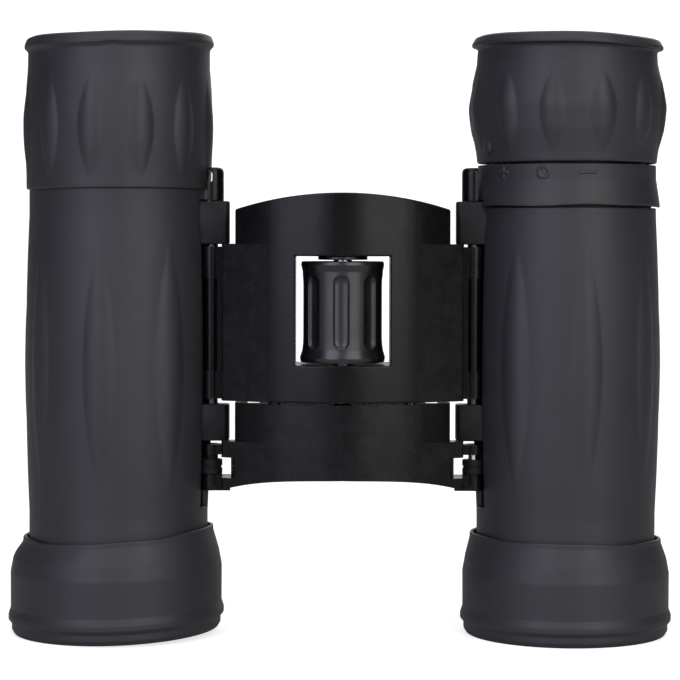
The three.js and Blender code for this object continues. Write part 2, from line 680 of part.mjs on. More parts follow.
// The fixed rubber skirt below the diopter grip, flared at its foot and notched round the hinge block.
function scaleSkirt() {
  const bore = ARMOUR_BORE + 0.1;
  const skirt = turned([
    [bore, SKIRT_FOOT],
    [bore + SKIRT_THICK_FOOT, SKIRT_FOOT],
    [bore + SKIRT_THICK_FOOT - 0.05, SKIRT_FOOT + 0.5],
    [bore + 0.85, SKIRT_FOOT + 2.4],
    [bore + SKIRT_THICK_TOP + 0.08, SKIRT_FOOT + 4.4],
    [bore + SKIRT_THICK_TOP, SKIRT_TOP],
    [bore, SKIRT_TOP],
  ]).subtract(hingeBlock(1, UPPER_BLOCK_Z, UPPER_BLOCK_Z + UPPER_BLOCK, SEAT));
  return scaleMarks().reduce((whole, mark) => whole.add(mark), skirt);
}

// A domed post on the upper hinge block, cut back to clear the rubber beside it. The left one has a
// cross hole that takes a wrist cord.
function hingeCap(side, clearOf) {
  const { x, y } = hingeOf(side);
  const top = POST_Z + POST_HEIGHT;
  const post = turnedSolid([
    [0, POST_Z],
    [POST_R, POST_Z],
    [POST_R, top - 1.5],
    [POST_R * 0.85, top - 0.6],
    [POST_R * 0.5, top - 0.12],
    [0, top],
  ]);
  const eyelet = new THREE.CylinderGeometry(0.75, 0.75, 4 * POST_R, SMALL / 2);
  const whole = side < 0 ? post.subtract(solid(eyelet.translate(-side * 0.3, 0, top - 2.3))) : post;
  return whole.translate([x, y, 0]).subtract(rod(clearOf, POST_Z - 1, top + 1, 0, 0, FINE));
}

function barrel(sideName) {
  const side = SIDES[sideName];
  const group = new THREE.Group();
  group.position.x = (side * BARREL_SPACING) / 2;
  const isRight = side > 0;
  const armourTop = isRight ? SKIRT_FOOT - SEAT : HOUSING_TOP;
  add(group, `${sideName}_barrel_housing`, housing(side), 'casing');
  add(group, `${sideName}_armour_sleeve`, armour(side, armourTop, degrees(ARMOUR_FLUTE_AT[sideName])), 'armour');
  add(group, `${sideName}_objective_guard`, guard(), 'armour');
  objectiveParts(group, sideName, side);
  prismParts(group, sideName);
  if (isRight) {
    rightEyepiece(group);
    add(group, 'right_diopter_skirt', scaleSkirt(), 'armour');
  } else {
    leftEyepiece(group);
  }
  const besides = isRight ? ARMOUR_BORE + 0.1 + SKIRT_THICK_FOOT : ARMOUR_R + 0.75;
  add(group, `${sideName}_hinge_cap`, hingeCap(side, besides + SEAT), 'bridge');
  return group;
}

// ---- bridge ---------------------------------------------------------------------------------------

// Plan of the hump: a bowed front between two flat sides, down to a flat back.
function humpPlan(back) {
  const front = arcCorners(HUMP_HALF, HUMP_FRONT, HUMP_BULGE, ARC_STEPS).map(([x, y]) => [x, -y]);
  return polygon([...front, [HUMP_HALF, back], [-HUMP_HALF, back]]);
}

// Plan of the wings, which leave the hump just inside its sides and stand a little proud of it.
function wingPlan(side, back) {
  const merge = HUMP_HALF - WING_MERGE;
  const radius = radiusOfArc(HUMP_HALF, HUMP_BULGE);
  const mergeY = -(HUMP_FRONT - radius + Math.sqrt(radius ** 2 - merge ** 2));
  const bevel = 0.45;
  return polygon([
    [side * (merge - 1), mergeY + 2],
    [side * merge, mergeY],
    [side * (WING_HALF - bevel), -WING_FRONT],
    [side * WING_HALF, -WING_FRONT + bevel],
    [side * WING_HALF, back],
    [side * (merge - 1), back],
  ]);
}

// A knuckle or ear on a hinge axis with the web that ties it to its wing.
function knuckle(side, low, high) {
  const web = [side * (WING_HALF - 1.2), side * HINGE_X].sort((a, b) => a - b);
  return rod(KNUCKLE_R, low, high, side * HINGE_X, HINGE_Y)
    .add(block(web, [HINGE_Y - KNUCKLE_R, -BRIDGE_BACK], [low, high]));
}

// The half shell that joins two knuckles behind the bare stretch of the hinge rod.
function rodShell(side) {
  const reach = [side * (HINGE_X - KNUCKLE_R), side * (HINGE_X + KNUCKLE_R)].sort((a, b) => a - b);
  return rod(KNUCKLE_R, ROD_BARE_Z, UPPER_KNUCKLE_Z, side * HINGE_X, HINGE_Y)
    .subtract(block(reach, [HINGE_Y - KNUCKLE_R, HINGE_Y], [ROD_BARE_Z, UPPER_KNUCKLE_Z]));
}

// The hump's domed upper edge, as a front view.
function archedTop() {
  const crown = arcCorners(HUMP_HALF, HUMP_TOP, HUMP_ARCH, ARC_STEPS).reverse();
  const wide = HINGE_X + KNUCKLE_R + 1;
  const corner = HUMP_TOP - HUMP_ARCH;
  return carried(polygon([
    [-wide, 0],
    [wide, 0],
    [wide, corner],
    ...crown,
    [-wide, corner],
  ]), -HUMP_FRONT - 5, 5);
}

function bridgeFrame() {
  const pocketIn = WINDOW_HALF + WINDOW_WALL;
  const pocketOut = HUMP_HALF - POCKET_WALL;
  let frame = raised(humpPlan(FRAME_BACK), BRIDGE_FOOT, HUMP_TOP + 1).intersect(archedTop());
  for (const side of [-1, 1]) {
    const pocketX = [side * pocketIn, side * pocketOut].sort((a, b) => a - b);
    const outerX = [side * (HUMP_HALF + SEAT), side * WING_HALF].sort((a, b) => a - b);
    frame = frame
      .add(raised(wingPlan(side, FRAME_BACK), BRIDGE_FOOT, BRIDGE_WING_TOP))
      .add(block(outerX, [FRAME_BACK - 1, -BRIDGE_BACK], [BRIDGE_FOOT, BRIDGE_WING_TOP]))
      .add(knuckle(side, BRIDGE_FOOT, ROD_BARE_Z))
      .add(knuckle(side, UPPER_KNUCKLE_Z, BRIDGE_WING_TOP))
      .add(rodShell(side))
      .subtract(block(pocketX, [-WING_FRONT + POCKET_WALL, 0], [BRIDGE_FOOT + POCKET_WALL, BRIDGE_WING_TOP]))
      .subtract(rod(ROD_R + RUN, BRIDGE_FOOT - 1, BRIDGE_WING_TOP + 1, side * HINGE_X, HINGE_Y))
      .subtract(rod(GUIDE_ROD_R + RUN, BRIDGE_FOOT - 1, BRIDGE_FOOT + GUIDE_ROD_GRIP + SEAT,
        side * GUIDE_ROD_X, GUIDE_ROD_Y));
  }
  for (const { x, z } of screwPlaces()) {
    frame = frame.subtract(crossRod(SCREW_R + RUN, FRAME_BACK - SCREW_LENGTH, 0, x, z));
  }
  return frame
    .subtract(block([-WINDOW_HALF, WINDOW_HALF], [-HUMP_FRONT - 2, 0], [WINDOW_Z, WINDOW_TOP]))
    .subtract(rod(SPINDLE_R + RUN, BRIDGE_FOOT - 1, WINDOW_TOP + 4.5, 0, -WHEEL_BACK));
}

// A rod along Y from front to back.
function crossRod(radius, front, back, x, z) {
  const geometry = new THREE.CylinderGeometry(radius, radius, back - front, SMALL / 2);
  return solid(geometry.translate(x, (front + back) / 2, z));
}

function screwPlaces() {
  const x = WINDOW_HALF - 1;
  return [
    { x: -x, z: WINDOW_Z - 2.9 },
    { x, z: WINDOW_Z - 2.9 },
    { x: -x, z: WINDOW_TOP + 4 },
    { x, z: WINDOW_TOP + 4 },
  ];
}

function backCover() {
  const half = HUMP_HALF - COVER_MARGIN;
  const margin = 1.2;
  const top = HUMP_TOP - HUMP_ARCH - COVER_MARGIN;
  const outline = polygon([
    [-half, BRIDGE_FOOT + margin],
    [half, BRIDGE_FOOT + margin],
    [half, top - margin],
    [half - margin, top],
    [-half + margin, top],
    [-half, top - margin],
  ]);
  let cover = carried(outline, FRAME_BACK + SEAT, -BRIDGE_BACK)
    .subtract(block([-WINDOW_HALF, WINDOW_HALF], [-HUMP_FRONT, 0], [WINDOW_Z, WINDOW_TOP]));
  for (const { x, z } of screwPlaces()) {
    cover = cover
      .subtract(crossRod(SCREW_R + RUN, FRAME_BACK - 1, 0, x, z))
      .subtract(crossRod(SCREW_HEAD_R + RUN, -BRIDGE_BACK - 0.8, 0, x, z));
  }
  return cover;
}

function coverScrew(x, z) {
  const head = -BRIDGE_BACK - 0.8 + SEAT;
  const reach = SCREW_HEAD_R * 0.75;
  const slot = block([x - reach, x + reach], [-BRIDGE_BACK - 0.25, 0], [z - 0.2, z + 0.2]);
  return crossRod(SCREW_R, FRAME_BACK - SCREW_LENGTH + SEAT, head + 0.1, x, z)
    .add(crossRod(SCREW_HEAD_R, head, -BRIDGE_BACK, x, z))
    .subtract(slot);
}

// ---- focus drive ----------------------------------------------------------------------------------

// The focus bridge hangs under the main bridge on two guide rods and carries both objective arms.
function focusBridge() {
  const low = COLUMN_FOOT - 1;
  const wide = HINGE_X + KNUCKLE_R + 1;
  const rise = arcCorners(HUMP_HALF, COLUMN_FOOT + FOCUS_ARCH, FOCUS_ARCH - FOCUS_HAUNCH, ARC_STEPS);
  const outline = carried(polygon([
    [-wide, COLUMN_FOOT],
    [-WING_HALF, COLUMN_FOOT],
    ...rise,
    [WING_HALF, COLUMN_FOOT],
    [wide, COLUMN_FOOT],
    [wide, FOCUS_TOP],
    [-wide, FOCUS_TOP],
  ]), -HUMP_FRONT - 5, 5);
  let body = raised(humpPlan(FRAME_BACK), low, FOCUS_TOP);
  for (const side of [-1, 1]) {
    const notchFront = polygon([
      [side * (WING_HALF - NOTCH_DEPTH), -WING_FRONT - 3],
      [side * (WING_HALF - 1.5), -WING_FRONT + 3.5],
      [side * (WING_HALF - 1.5), 1],
      [side * (HINGE_X + 4), 1],
      [side * (HINGE_X + 4), -WING_FRONT - 3],
    ]);
    const pocketX = [side * (GUIDE_ROD_X + 2.4), side * (HUMP_HALF - 1.9)].sort((a, b) => a - b);
    body = body
      .add(raised(wingPlan(side, FRAME_BACK), low, WING_TOP))
      .add(block([side * (HUMP_HALF - 1), side * WING_HALF].sort((a, b) => a - b),
        [FRAME_BACK - 1, -BRIDGE_BACK], [low, WING_TOP]))
      .add(knuckle(side, low, WING_TOP))
      .subtract(raised(notchFront, COLLAR_Z - SEAT, UPPER_EAR_Z))
      .subtract(block(pocketX, [-WING_FRONT + POCKET_WALL, 0], [WING_TOP + 1, FOCUS_TOP + 1]))
      .subtract(rod(FOCUS_PIN_R + RUN, low - 1, WING_TOP + 1, side * HINGE_X, HINGE_Y))
      .subtract(rod(GUIDE_ROD_R + RUN, WING_TOP - 2, FOCUS_TOP + 1, side * GUIDE_ROD_X, GUIDE_ROD_Y));
  }
  return body
    .intersect(outline)
    .subtract(rod(SPINDLE_R + RUN + NUT_WALL + RUN, FOCUS_TOP - NUT_HEIGHT - SEAT, FOCUS_TOP + 1,
      0, -WHEEL_BACK));
}

function focusNut() {
  const bore = SPINDLE_R + RUN;
  const low = FOCUS_TOP - NUT_HEIGHT;
  return ring(bore, bore + NUT_WALL, low, FOCUS_TOP - SEAT, SMALL).translate([0, -WHEEL_BACK, 0]);
}

function focusGrip() {
  const core = WHEEL_R - WHEEL_GRIP_WALL;
  const outline = [
    [core, WHEEL_Z],
    [WHEEL_R + WHEEL_FLARE, WHEEL_Z],
    [WHEEL_R + WHEEL_FLARE, WHEEL_Z + 0.7],
    [WHEEL_R, WHEEL_Z + 2],
    [WHEEL_R, WHEEL_TOP - 1.6],
    [WHEEL_R + WHEEL_FLARE * 0.6, WHEEL_TOP - 0.6],
    [WHEEL_R + WHEEL_FLARE * 0.4, WHEEL_TOP],
    [core, WHEEL_TOP],
  ];
  let grip = turned(outline);
  for (let i = 0; i < WHEEL_FLUTES; i += 1) {
    const cutter = new THREE.CapsuleGeometry(1, WHEEL_TOP - WHEEL_Z - 5.2, 1, 8);
    cutter.rotateX(Math.PI / 2);
    cutter.translate(0, -(WHEEL_R + 0.4), (WHEEL_Z + WHEEL_TOP) / 2);
    cutter.rotateZ(degrees(WHEEL_FLUTE_AT) + (i * 2 * Math.PI) / WHEEL_FLUTES);
    grip = grip.subtract(solid(cutter));
  }
  return grip.translate([0, -WHEEL_BACK, 0]);
}

function focusDrive(group) {
  const core = WHEEL_R - WHEEL_GRIP_WALL - RUN;
  const bore = SPINDLE_R + RUN;
  const onAxis = (body) => body.translate([0, -WHEEL_BACK, 0]);
  add(group, 'focus_wheel_core', onAxis(ring(bore, core, WHEEL_Z, WHEEL_TOP)), 'bridge');
  add(group, 'focus_wheel_grip', focusGrip(), 'grip');
  const washerFoot = WHEEL_TOP + RUN;
  add(group, 'focus_washer', onAxis(ring(bore, WASHER_R, washerFoot, washerFoot + WASHER_THICK)), 'blackSteel');
  add(group, 'focus_spindle', rod(SPINDLE_R, WING_TOP + 1, WINDOW_TOP + 4.2, 0, -WHEEL_BACK), 'steel');
  add(group, 'focus_nut', focusNut(), 'brass');
  add(group, 'focus_bridge', focusBridge(), 'bridge');
}

function bridge() {
  const group = new THREE.Group();
  add(group, 'bridge_frame', bridgeFrame(), 'bridge');
  add(group, 'bridge_back_cover', backCover(), 'casing');
  screwPlaces().forEach(({ x, z }, i) => add(group, `cover_screw_${i + 1}`, coverScrew(x, z), 'steel'));
  for (const [sideName, side] of Object.entries(SIDES)) {
    const x = side * HINGE_X;
    add(group, `${sideName}_hinge_rod`,
      rod(ROD_R, LOWER_BLOCK_Z + SEAT, POST_Z - 2 * SEAT, x, HINGE_Y), 'blackSteel');
    add(group, `${sideName}_focus_pin`,
      rod(FOCUS_PIN_R, COLUMN_FOOT + SEAT, WING_TOP - SEAT, x, HINGE_Y), 'steel');
    add(group, `${sideName}_guide_rod`,
      rod(GUIDE_ROD_R, WING_TOP - 2 + SEAT, BRIDGE_FOOT + GUIDE_ROD_GRIP, side * GUIDE_ROD_X, GUIDE_ROD_Y), 'steel');
  }
  focusDrive(group);
  return group;
}

binoculars.add(barrel('left'));
binoculars.add(barrel('right'));
binoculars.add(bridge());

export default binoculars;
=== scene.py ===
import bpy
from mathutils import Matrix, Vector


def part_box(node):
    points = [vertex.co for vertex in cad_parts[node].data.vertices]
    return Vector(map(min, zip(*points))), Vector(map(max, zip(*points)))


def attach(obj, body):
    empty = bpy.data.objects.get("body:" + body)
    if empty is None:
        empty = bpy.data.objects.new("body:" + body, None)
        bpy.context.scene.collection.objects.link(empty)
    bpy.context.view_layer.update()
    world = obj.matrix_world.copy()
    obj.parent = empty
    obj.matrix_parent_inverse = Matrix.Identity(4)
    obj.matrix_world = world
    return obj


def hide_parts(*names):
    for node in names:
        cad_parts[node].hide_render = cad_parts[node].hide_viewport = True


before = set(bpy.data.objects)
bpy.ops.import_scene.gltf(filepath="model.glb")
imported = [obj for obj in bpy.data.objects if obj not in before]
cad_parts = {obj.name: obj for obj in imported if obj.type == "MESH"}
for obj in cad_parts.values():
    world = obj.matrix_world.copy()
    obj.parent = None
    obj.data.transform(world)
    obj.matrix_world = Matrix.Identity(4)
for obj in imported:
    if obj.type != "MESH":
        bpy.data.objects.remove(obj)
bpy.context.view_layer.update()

# Compact folding binoculars on a pale studio floor. Outlines are written in millimetres, in the part's
# own frame: +Z up towards the eyepieces, -Y towards the side that the focus wheel faces.

import math

import bpy
import numpy as np
from mathutils import Matrix

MM = 0.001
SIDES = {"left": -1, "right": 1}
TURN = 2 * math.pi


# ---- camera ----

def make_camera():
    data = bpy.data.cameras.new("camera")
    data.sensor_width = 36
    data.lens = 125.6
    data.shift_y = -0.1
    camera = bpy.data.objects.new("camera", data)
    bpy.context.scene.collection.objects.link(camera)
    tilt = Matrix.Rotation(math.radians(90 - 0.94), 4, "X")
    roll = Matrix.Rotation(math.radians(0.132), 4, "Z")
    camera.matrix_world = Matrix.Translation((-0.00045, -0.3926, 0.066)) @ tilt @ roll
    bpy.context.scene.camera = camera


make_camera()


# ---- places taken from the CAD nodes ----

def corners(node):
    """Lowest and highest corner of a CAD node, in millimetres."""
    low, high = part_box(node)
    return np.array(low) * 1000, np.array(high) * 1000


def foot_top(node):
    low, high = corners(node)
    return low[2], high[2]


def round_size(node):
    """Foot, top and outer radius of a round CAD node."""
    low, high = corners(node)
    return low[2], high[2], (high[0] - low[0]) / 2


def middle_of(node):
    low, high = corners(node)
    return (low[0] + high[0]) / 2, (low[1] + high[1]) / 2


BARREL = {side: middle_of(f"{side}_objective_guard") for side in SIDES}
HINGE = {side: middle_of(f"{side}_hinge_rod") for side in SIDES}
WHEEL = middle_of("focus_wheel_core")


# ---- node groups for the finishes ----

def new_group(name, inputs, outputs):
    group = bpy.data.node_groups.new(name, "ShaderNodeTree")
    for label, kind, value in inputs:
        socket = group.interface.new_socket(name=label, in_out="INPUT", socket_type=kind)
        socket.default_value = value
    for label, kind in outputs:
        group.interface.new_socket(name=label, in_out="OUTPUT", socket_type=kind)
    return group, group.nodes.new("NodeGroupInput"), group.nodes.new("NodeGroupOutput")


def math_node(tree, operation, first, second):
    """A Math node; each of its two inputs is a socket or a number."""
    node = tree.nodes.new("ShaderNodeMath")
    node.operation = operation
    for index, value in enumerate((first, second)):
        if isinstance(value, bpy.types.NodeSocket):
            tree.links.new(value, node.inputs[index])
        else:
            node.inputs[index].default_value = value
    return node.outputs[0]


def noise(tree, vector, scale, detail=2.0, roughness=0.5):
    node = tree.nodes.new("ShaderNodeTexNoise")
    tree.links.new(vector, node.inputs["Vector"])
    if isinstance(scale, bpy.types.NodeSocket):
        tree.links.new(scale, node.inputs["Scale"])
    else:
        node.inputs["Scale"].default_value = scale
    node.inputs["Detail"].default_value = detail
    node.inputs["Roughness"].default_value = roughness
    return node.outputs["Fac"]


def stretch(tree, value, low, high, to_low=0.0, to_high=1.0):
    """Maps a value from low..high onto to_low..to_high, clamped; low and high may be sockets."""
    node = tree.nodes.new("ShaderNodeMapRange")
    node.clamp = True
    tree.links.new(value, node.inputs["Value"])
    for label, bound in (("From Min", low), ("From Max", high), ("To Min", to_low), ("To Max", to_high)):
        if isinstance(bound, bpy.types.NodeSocket):
            tree.links.new(bound, node.inputs[label])
        else:
            node.inputs[label].default_value = bound
    return node.outputs["Result"]


def grain_group():
    """Fine moulded grain: a height for bump and a slower speckle for roughness."""
    group, given, made = new_group(
        "moulded grain",
        [("Grains per metre", "NodeSocketFloat", 5000.0)],
        [("Height", "NodeSocketFloat"), ("Speckle", "NodeSocketFloat")],
    )
    place = group.nodes.new("ShaderNodeTexCoord").outputs["Object"]
    fine = noise(group, place, given.outputs["Grains per metre"], 3.0, 0.6)
    slow = math_node(group, "MULTIPLY", given.outputs["Grains per metre"], 0.09)
    group.links.new(fine, made.inputs["Height"])
    group.links.new(noise(group, place, slow, 4.0, 0.65), made.inputs["Speckle"])
    return group


def drift_group():
    """Slow drift between two tones, as a moulding takes up in use."""
    group, given, made = new_group(
        "tone drift",
        [
            ("Tone", "NodeSocketColor", (0.5, 0.5, 0.5, 1)),
            ("Other tone", "NodeSocketColor", (0.5, 0.5, 0.5, 1)),
            ("Patches per metre", "NodeSocketFloat", 60.0),
        ],
        [("Color", "NodeSocketColor")],
    )
    place = group.nodes.new("ShaderNodeTexCoord").outputs["Object"]
    patch = noise(group, place, given.outputs["Patches per metre"], 5.0, 0.6)
    blend = group.nodes.new("ShaderNodeMix")
    blend.data_type = "RGBA"
    group.links.new(stretch(group, patch, 0.32, 0.68), blend.inputs["Factor"])
    group.links.new(given.outputs["Tone"], blend.inputs[6])
    group.links.new(given.outputs["Other tone"], blend.inputs[7])
    group.links.new(blend.outputs[2], made.inputs["Color"])
    return group


def wear_group():
    """Rubbed edges: strong on convex edges, broken up by a slow noise."""
    group, given, made = new_group(
        "edge wear",
        [("Amount", "NodeSocketFloat", 0.5), ("Edge from", "NodeSocketFloat", 0.52),
         ("Edge to", "NodeSocketFloat", 0.6)],
        [("Mask", "NodeSocketFloat")],
    )
    place = group.nodes.new("ShaderNodeTexCoord").outputs["Object"]
    bend = group.nodes.new("ShaderNodeNewGeometry").outputs["Pointiness"]
    edge = stretch(group, bend, given.outputs["Edge from"], given.outputs["Edge to"])
    patch = stretch(group, noise(group, place, 420.0, 4.0, 0.7), 0.38, 0.62)
    broken = math_node(group, "MULTIPLY", edge, patch)
    mask = math_node(group, "MULTIPLY", broken, given.outputs["Amount"])
    group.links.new(mask, made.inputs["Mask"])
    return group


def dust_group():
    """Specks and a thin film of dust on what faces up."""
    group, given, made = new_group(
        "settled dust",
        [("Amount", "NodeSocketFloat", 0.5)],
        [("Mask", "NodeSocketFloat")],
    )
    place = group.nodes.new("ShaderNodeTexCoord").outputs["Object"]
    split = group.nodes.new("ShaderNodeSeparateXYZ")
    group.links.new(group.nodes.new("ShaderNodeNewGeometry").outputs["Normal"], split.inputs[0])
    up = stretch(group, split.outputs["Z"], 0.2, 1.0)
    film = noise(group, place, 260.0, 3.0, 0.6)
    specks = stretch(group, noise(group, place, 2600.0, 2.0, 0.5), 0.64, 0.72)
    layer = math_node(group, "MULTIPLY", up, film)
    both = math_node(group, "MAXIMUM", layer, math_node(group, "MULTIPLY", specks, 0.35))
    group.links.new(math_node(group, "MULTIPLY", both, given.outputs["Amount"]), made.inputs["Mask"])
    return group


def turning_group():
    """Fine rings that a lathe leaves round Z."""
    group, given, made = new_group(
        "turning marks",
        [("Marks per metre", "NodeSocketFloat", 6000.0)],
        [("Height", "NodeSocketFloat")],
    )
    split = group.nodes.new("ShaderNodeSeparateXYZ")
    join = group.nodes.new("ShaderNodeCombineXYZ")
    group.links.new(group.nodes.new("ShaderNodeTexCoord").outputs["Object"], split.inputs[0])
    for axis, share in (("X", 0.03), ("Y", 0.03), ("Z", 1.0)):
        group.links.new(math_node(group, "MULTIPLY", split.outputs[axis], share), join.inputs[axis])
    marks = noise(group, join.outputs[0], given.outputs["Marks per metre"], 2.0, 0.5)
    group.links.new(marks, made.inputs["Height"])
    return group


GRAIN = grain_group()
DRIFT = drift_group()
WEAR = wear_group()
DUST = dust_group()
TURNING = turning_group()


def set_inputs(node, values):
    for label, value in values.items():
        node.inputs[label.replace("_", " ")].default_value = value


def use_group(tree, group, **values):
    node = tree.nodes.new("ShaderNodeGroup")
    node.node_tree = group
    set_inputs(node, values)
    return node


def mix_colour(tree, mask, under, over):
    """Lays a colour over another where the mask is high; under is a socket, over a colour."""
    node = tree.nodes.new("ShaderNodeMix")
    node.data_type = "RGBA"
    tree.links.new(mask, node.inputs["Factor"])
    tree.links.new(under, node.inputs[6])
    node.inputs[7].default_value = (*over, 1)
    return node.outputs[2]


def new_material(name):
    material = bpy.data.materials.new(name)
    material.use_nodes = True
    return material, material.node_tree, material.node_tree.nodes["Principled BSDF"]


def add_relief(tree, shader, height, relief):
    bump = tree.nodes.new("ShaderNodeBump")
    bump.inputs["Strength"].default_value = 1.0
    bump.inputs["Distance"].default_value = relief * MM
    tree.links.new(height, bump.inputs["Height"])
    tree.links.new(bump.outputs["Normal"], shader.inputs["Normal"])


def moulding(name, tone, other, rough, spread, grains, relief, worn, wear, dust, **plain):
    """A moulded rubber or plastic: drifting tone, rubbed edges, dust, grain in roughness and bump."""
    material, tree, shader = new_material(name)
    colour = use_group(tree, DRIFT, Tone=(*tone, 1), Other_tone=(*other, 1)).outputs["Color"]
    rubbed = use_group(tree, WEAR, Amount=wear).outputs["Mask"]
    dusty = use_group(tree, DUST, Amount=dust).outputs["Mask"]
    grain = use_group(tree, GRAIN, Grains_per_metre=grains)
    colour = mix_colour(tree, rubbed, colour, worn)
    colour = mix_colour(tree, dusty, colour, (0.33, 0.32, 0.31))
    tree.links.new(colour, shader.inputs["Base Color"])
    speckled = stretch(tree, grain.outputs["Speckle"], 0.3, 0.7, rough - spread, rough + spread)
    polished = math_node(tree, "MULTIPLY", rubbed, -0.12)
    tree.links.new(math_node(tree, "ADD", speckled, polished), shader.inputs["Roughness"])
    add_relief(tree, shader, grain.outputs["Height"], relief)
    set_inputs(shader, plain)
    return material


def metal(name, tone, other, rough, marks, relief):
    """A turned metal: drifting tone, lathe rings in the bump, speckled roughness."""
    material, tree, shader = new_material(name)
    colour = use_group(tree, DRIFT, Tone=(*tone, 1), Other_tone=(*other, 1), Patches_per_metre=300.0)
    tree.links.new(colour.outputs["Color"], shader.inputs["Base Color"])
    shader.inputs["Metallic"].default_value = 1.0
    grain = use_group(tree, GRAIN, Grains_per_metre=9000.0)
    speckled = stretch(tree, grain.outputs["Speckle"], 0.3, 0.7, rough - 0.07, rough + 0.09)
    tree.links.new(speckled, shader.inputs["Roughness"])
    rings = use_group(tree, TURNING, Marks_per_metre=marks)
    add_relief(tree, shader, rings.outputs["Height"], relief)
    return material


def glass(name, straight, glancing):
    """Optical glass with a coating tint that shifts at a glancing angle and faint wiping marks."""
    material, tree, shader = new_material(name)
    tilt = tree.nodes.new("ShaderNodeLayerWeight")
    tilt.inputs["Blend"].default_value = 0.35
    tint = tree.nodes.new("ShaderNodeMix")
    tint.data_type = "RGBA"
    tint.inputs[6].default_value = (*straight, 1)
    tint.inputs[7].default_value = (*glancing, 1)
    tree.links.new(tilt.outputs["Facing"], tint.inputs["Factor"])
    tree.links.new(tint.outputs[2], shader.inputs["Base Color"])
    grain = use_group(tree, GRAIN, Grains_per_metre=2500.0)
    smears = stretch(tree, grain.outputs["Speckle"], 0.45, 0.75, 0.02, 0.09)
    tree.links.new(smears, shader.inputs["Roughness"])
    shader.inputs["Transmission Weight"].default_value = 1.0
    shader.inputs["IOR"].default_value = 1.52
    return material


FINISH = {
    "rubber_armour": moulding(
        "soft rubber", (0.0170, 0.0162, 0.0205), (0.0210, 0.0202, 0.0245), 0.52, 0.04, 5200.0, 0.010,
        (0.040, 0.039, 0.045), 0.3, 0.05, Specular_IOR_Level=0.42),
    "moulded_casing": moulding(
        "glass filled casing", (0.004, 0.004, 0.0048), (0.006, 0.006, 0.007), 0.44, 0.06, 4200.0, 0.016,
        (0.03, 0.03, 0.034), 0.3, 0.02, Specular_IOR_Level=0.2),
    "bridge_plastic": moulding(
        "satin bridge plastic", (0.0014, 0.0014, 0.0018), (0.0022, 0.0022, 0.0028), 0.27, 0.03, 3600.0,
        0.004, (0.02, 0.02, 0.023), 0.3, 0.02, Specular_IOR_Level=0.2),
    "wheel_rubber": moulding(
        "handled wheel rubber", (0.005, 0.005, 0.006), (0.008, 0.008, 0.009), 0.31, 0.05, 4600.0, 0.008,
        (0.040, 0.040, 0.043), 0.4, 0.04, Specular_IOR_Level=0.55),
    "matt_inner_black": moulding(
        "flat black inside", (0.006, 0.006, 0.0065), (0.009, 0.009, 0.0095), 0.72, 0.05, 3000.0, 0.02,
        (0.03, 0.03, 0.03), 0.2, 0.0, Specular_IOR_Level=0.3),
    "spring_steel": metal("drawn steel", (0.50, 0.51, 0.53), (0.58, 0.58, 0.59), 0.28, 6500.0, 0.004),
    "blackened_steel": metal("oil black steel", (0.055, 0.055, 0.06), (0.085, 0.085, 0.09), 0.33, 5200.0,
                             0.004),
    "brass": metal("turned brass", (0.66, 0.48, 0.19), (0.72, 0.54, 0.25), 0.3, 5200.0, 0.004),
    "clear_glass": glass("optical glass", (0.94, 0.97, 0.96), (0.86, 0.93, 0.95)),
    "coated_glass": glass("coated glass", (0.70, 0.52, 0.86), (0.55, 0.78, 0.62)),
}


# ---- mesh helpers ----

def filleted(outline, closed=True, steps=5):
    """Corners as points; a corner given as (r, z, fillet) becomes a short arc."""
    points = []
    count = len(outline)
    for index, corner in enumerate(outline):
        here = np.array(corner[:2], float)
        fillet = corner[2] if len(corner) > 2 else 0
        at_end = not closed and index in (0, count - 1)
        if not fillet or at_end:
            points.append(here)
            continue
        before = np.array(outline[index - 1][:2], float) - here
        after = np.array(outline[(index + 1) % count][:2], float) - here
        reach_before, reach_after = np.linalg.norm(before), np.linalg.norm(after)
        cosine = before @ after / (reach_before * reach_after)
        half = math.acos(max(-1.0, min(1.0, cosine))) / 2
        cut = min(fillet / math.tan(half), reach_before * 0.48, reach_after * 0.48)
        start, end = here + before / reach_before * cut, here + after / reach_after * cut
        for step in range(steps + 1):
            u = step / steps
            points.append((1 - u) ** 2 * start + 2 * u * (1 - u) * here + u ** 2 * end)
    return points


def divided(points, closed, skin, fine, coarse=6.0):
    """Splits long stretches: finely where both ends lie outside the skin radius, coarsely elsewhere."""
    result = []
    count = len(points)
    for index, start in enumerate(points):
        result.append(start)
        if not closed and index == count - 1:
            break
        end = points[(index + 1) % count]
        step = fine if min(start[0], end[0]) > skin else coarse
        parts = max(1, math.ceil(np.linalg.norm(end - start) / step - 1e-6))
        for part in range(1, parts):
            result.append(start + (end - start) * part / parts)
    return np.array(result)


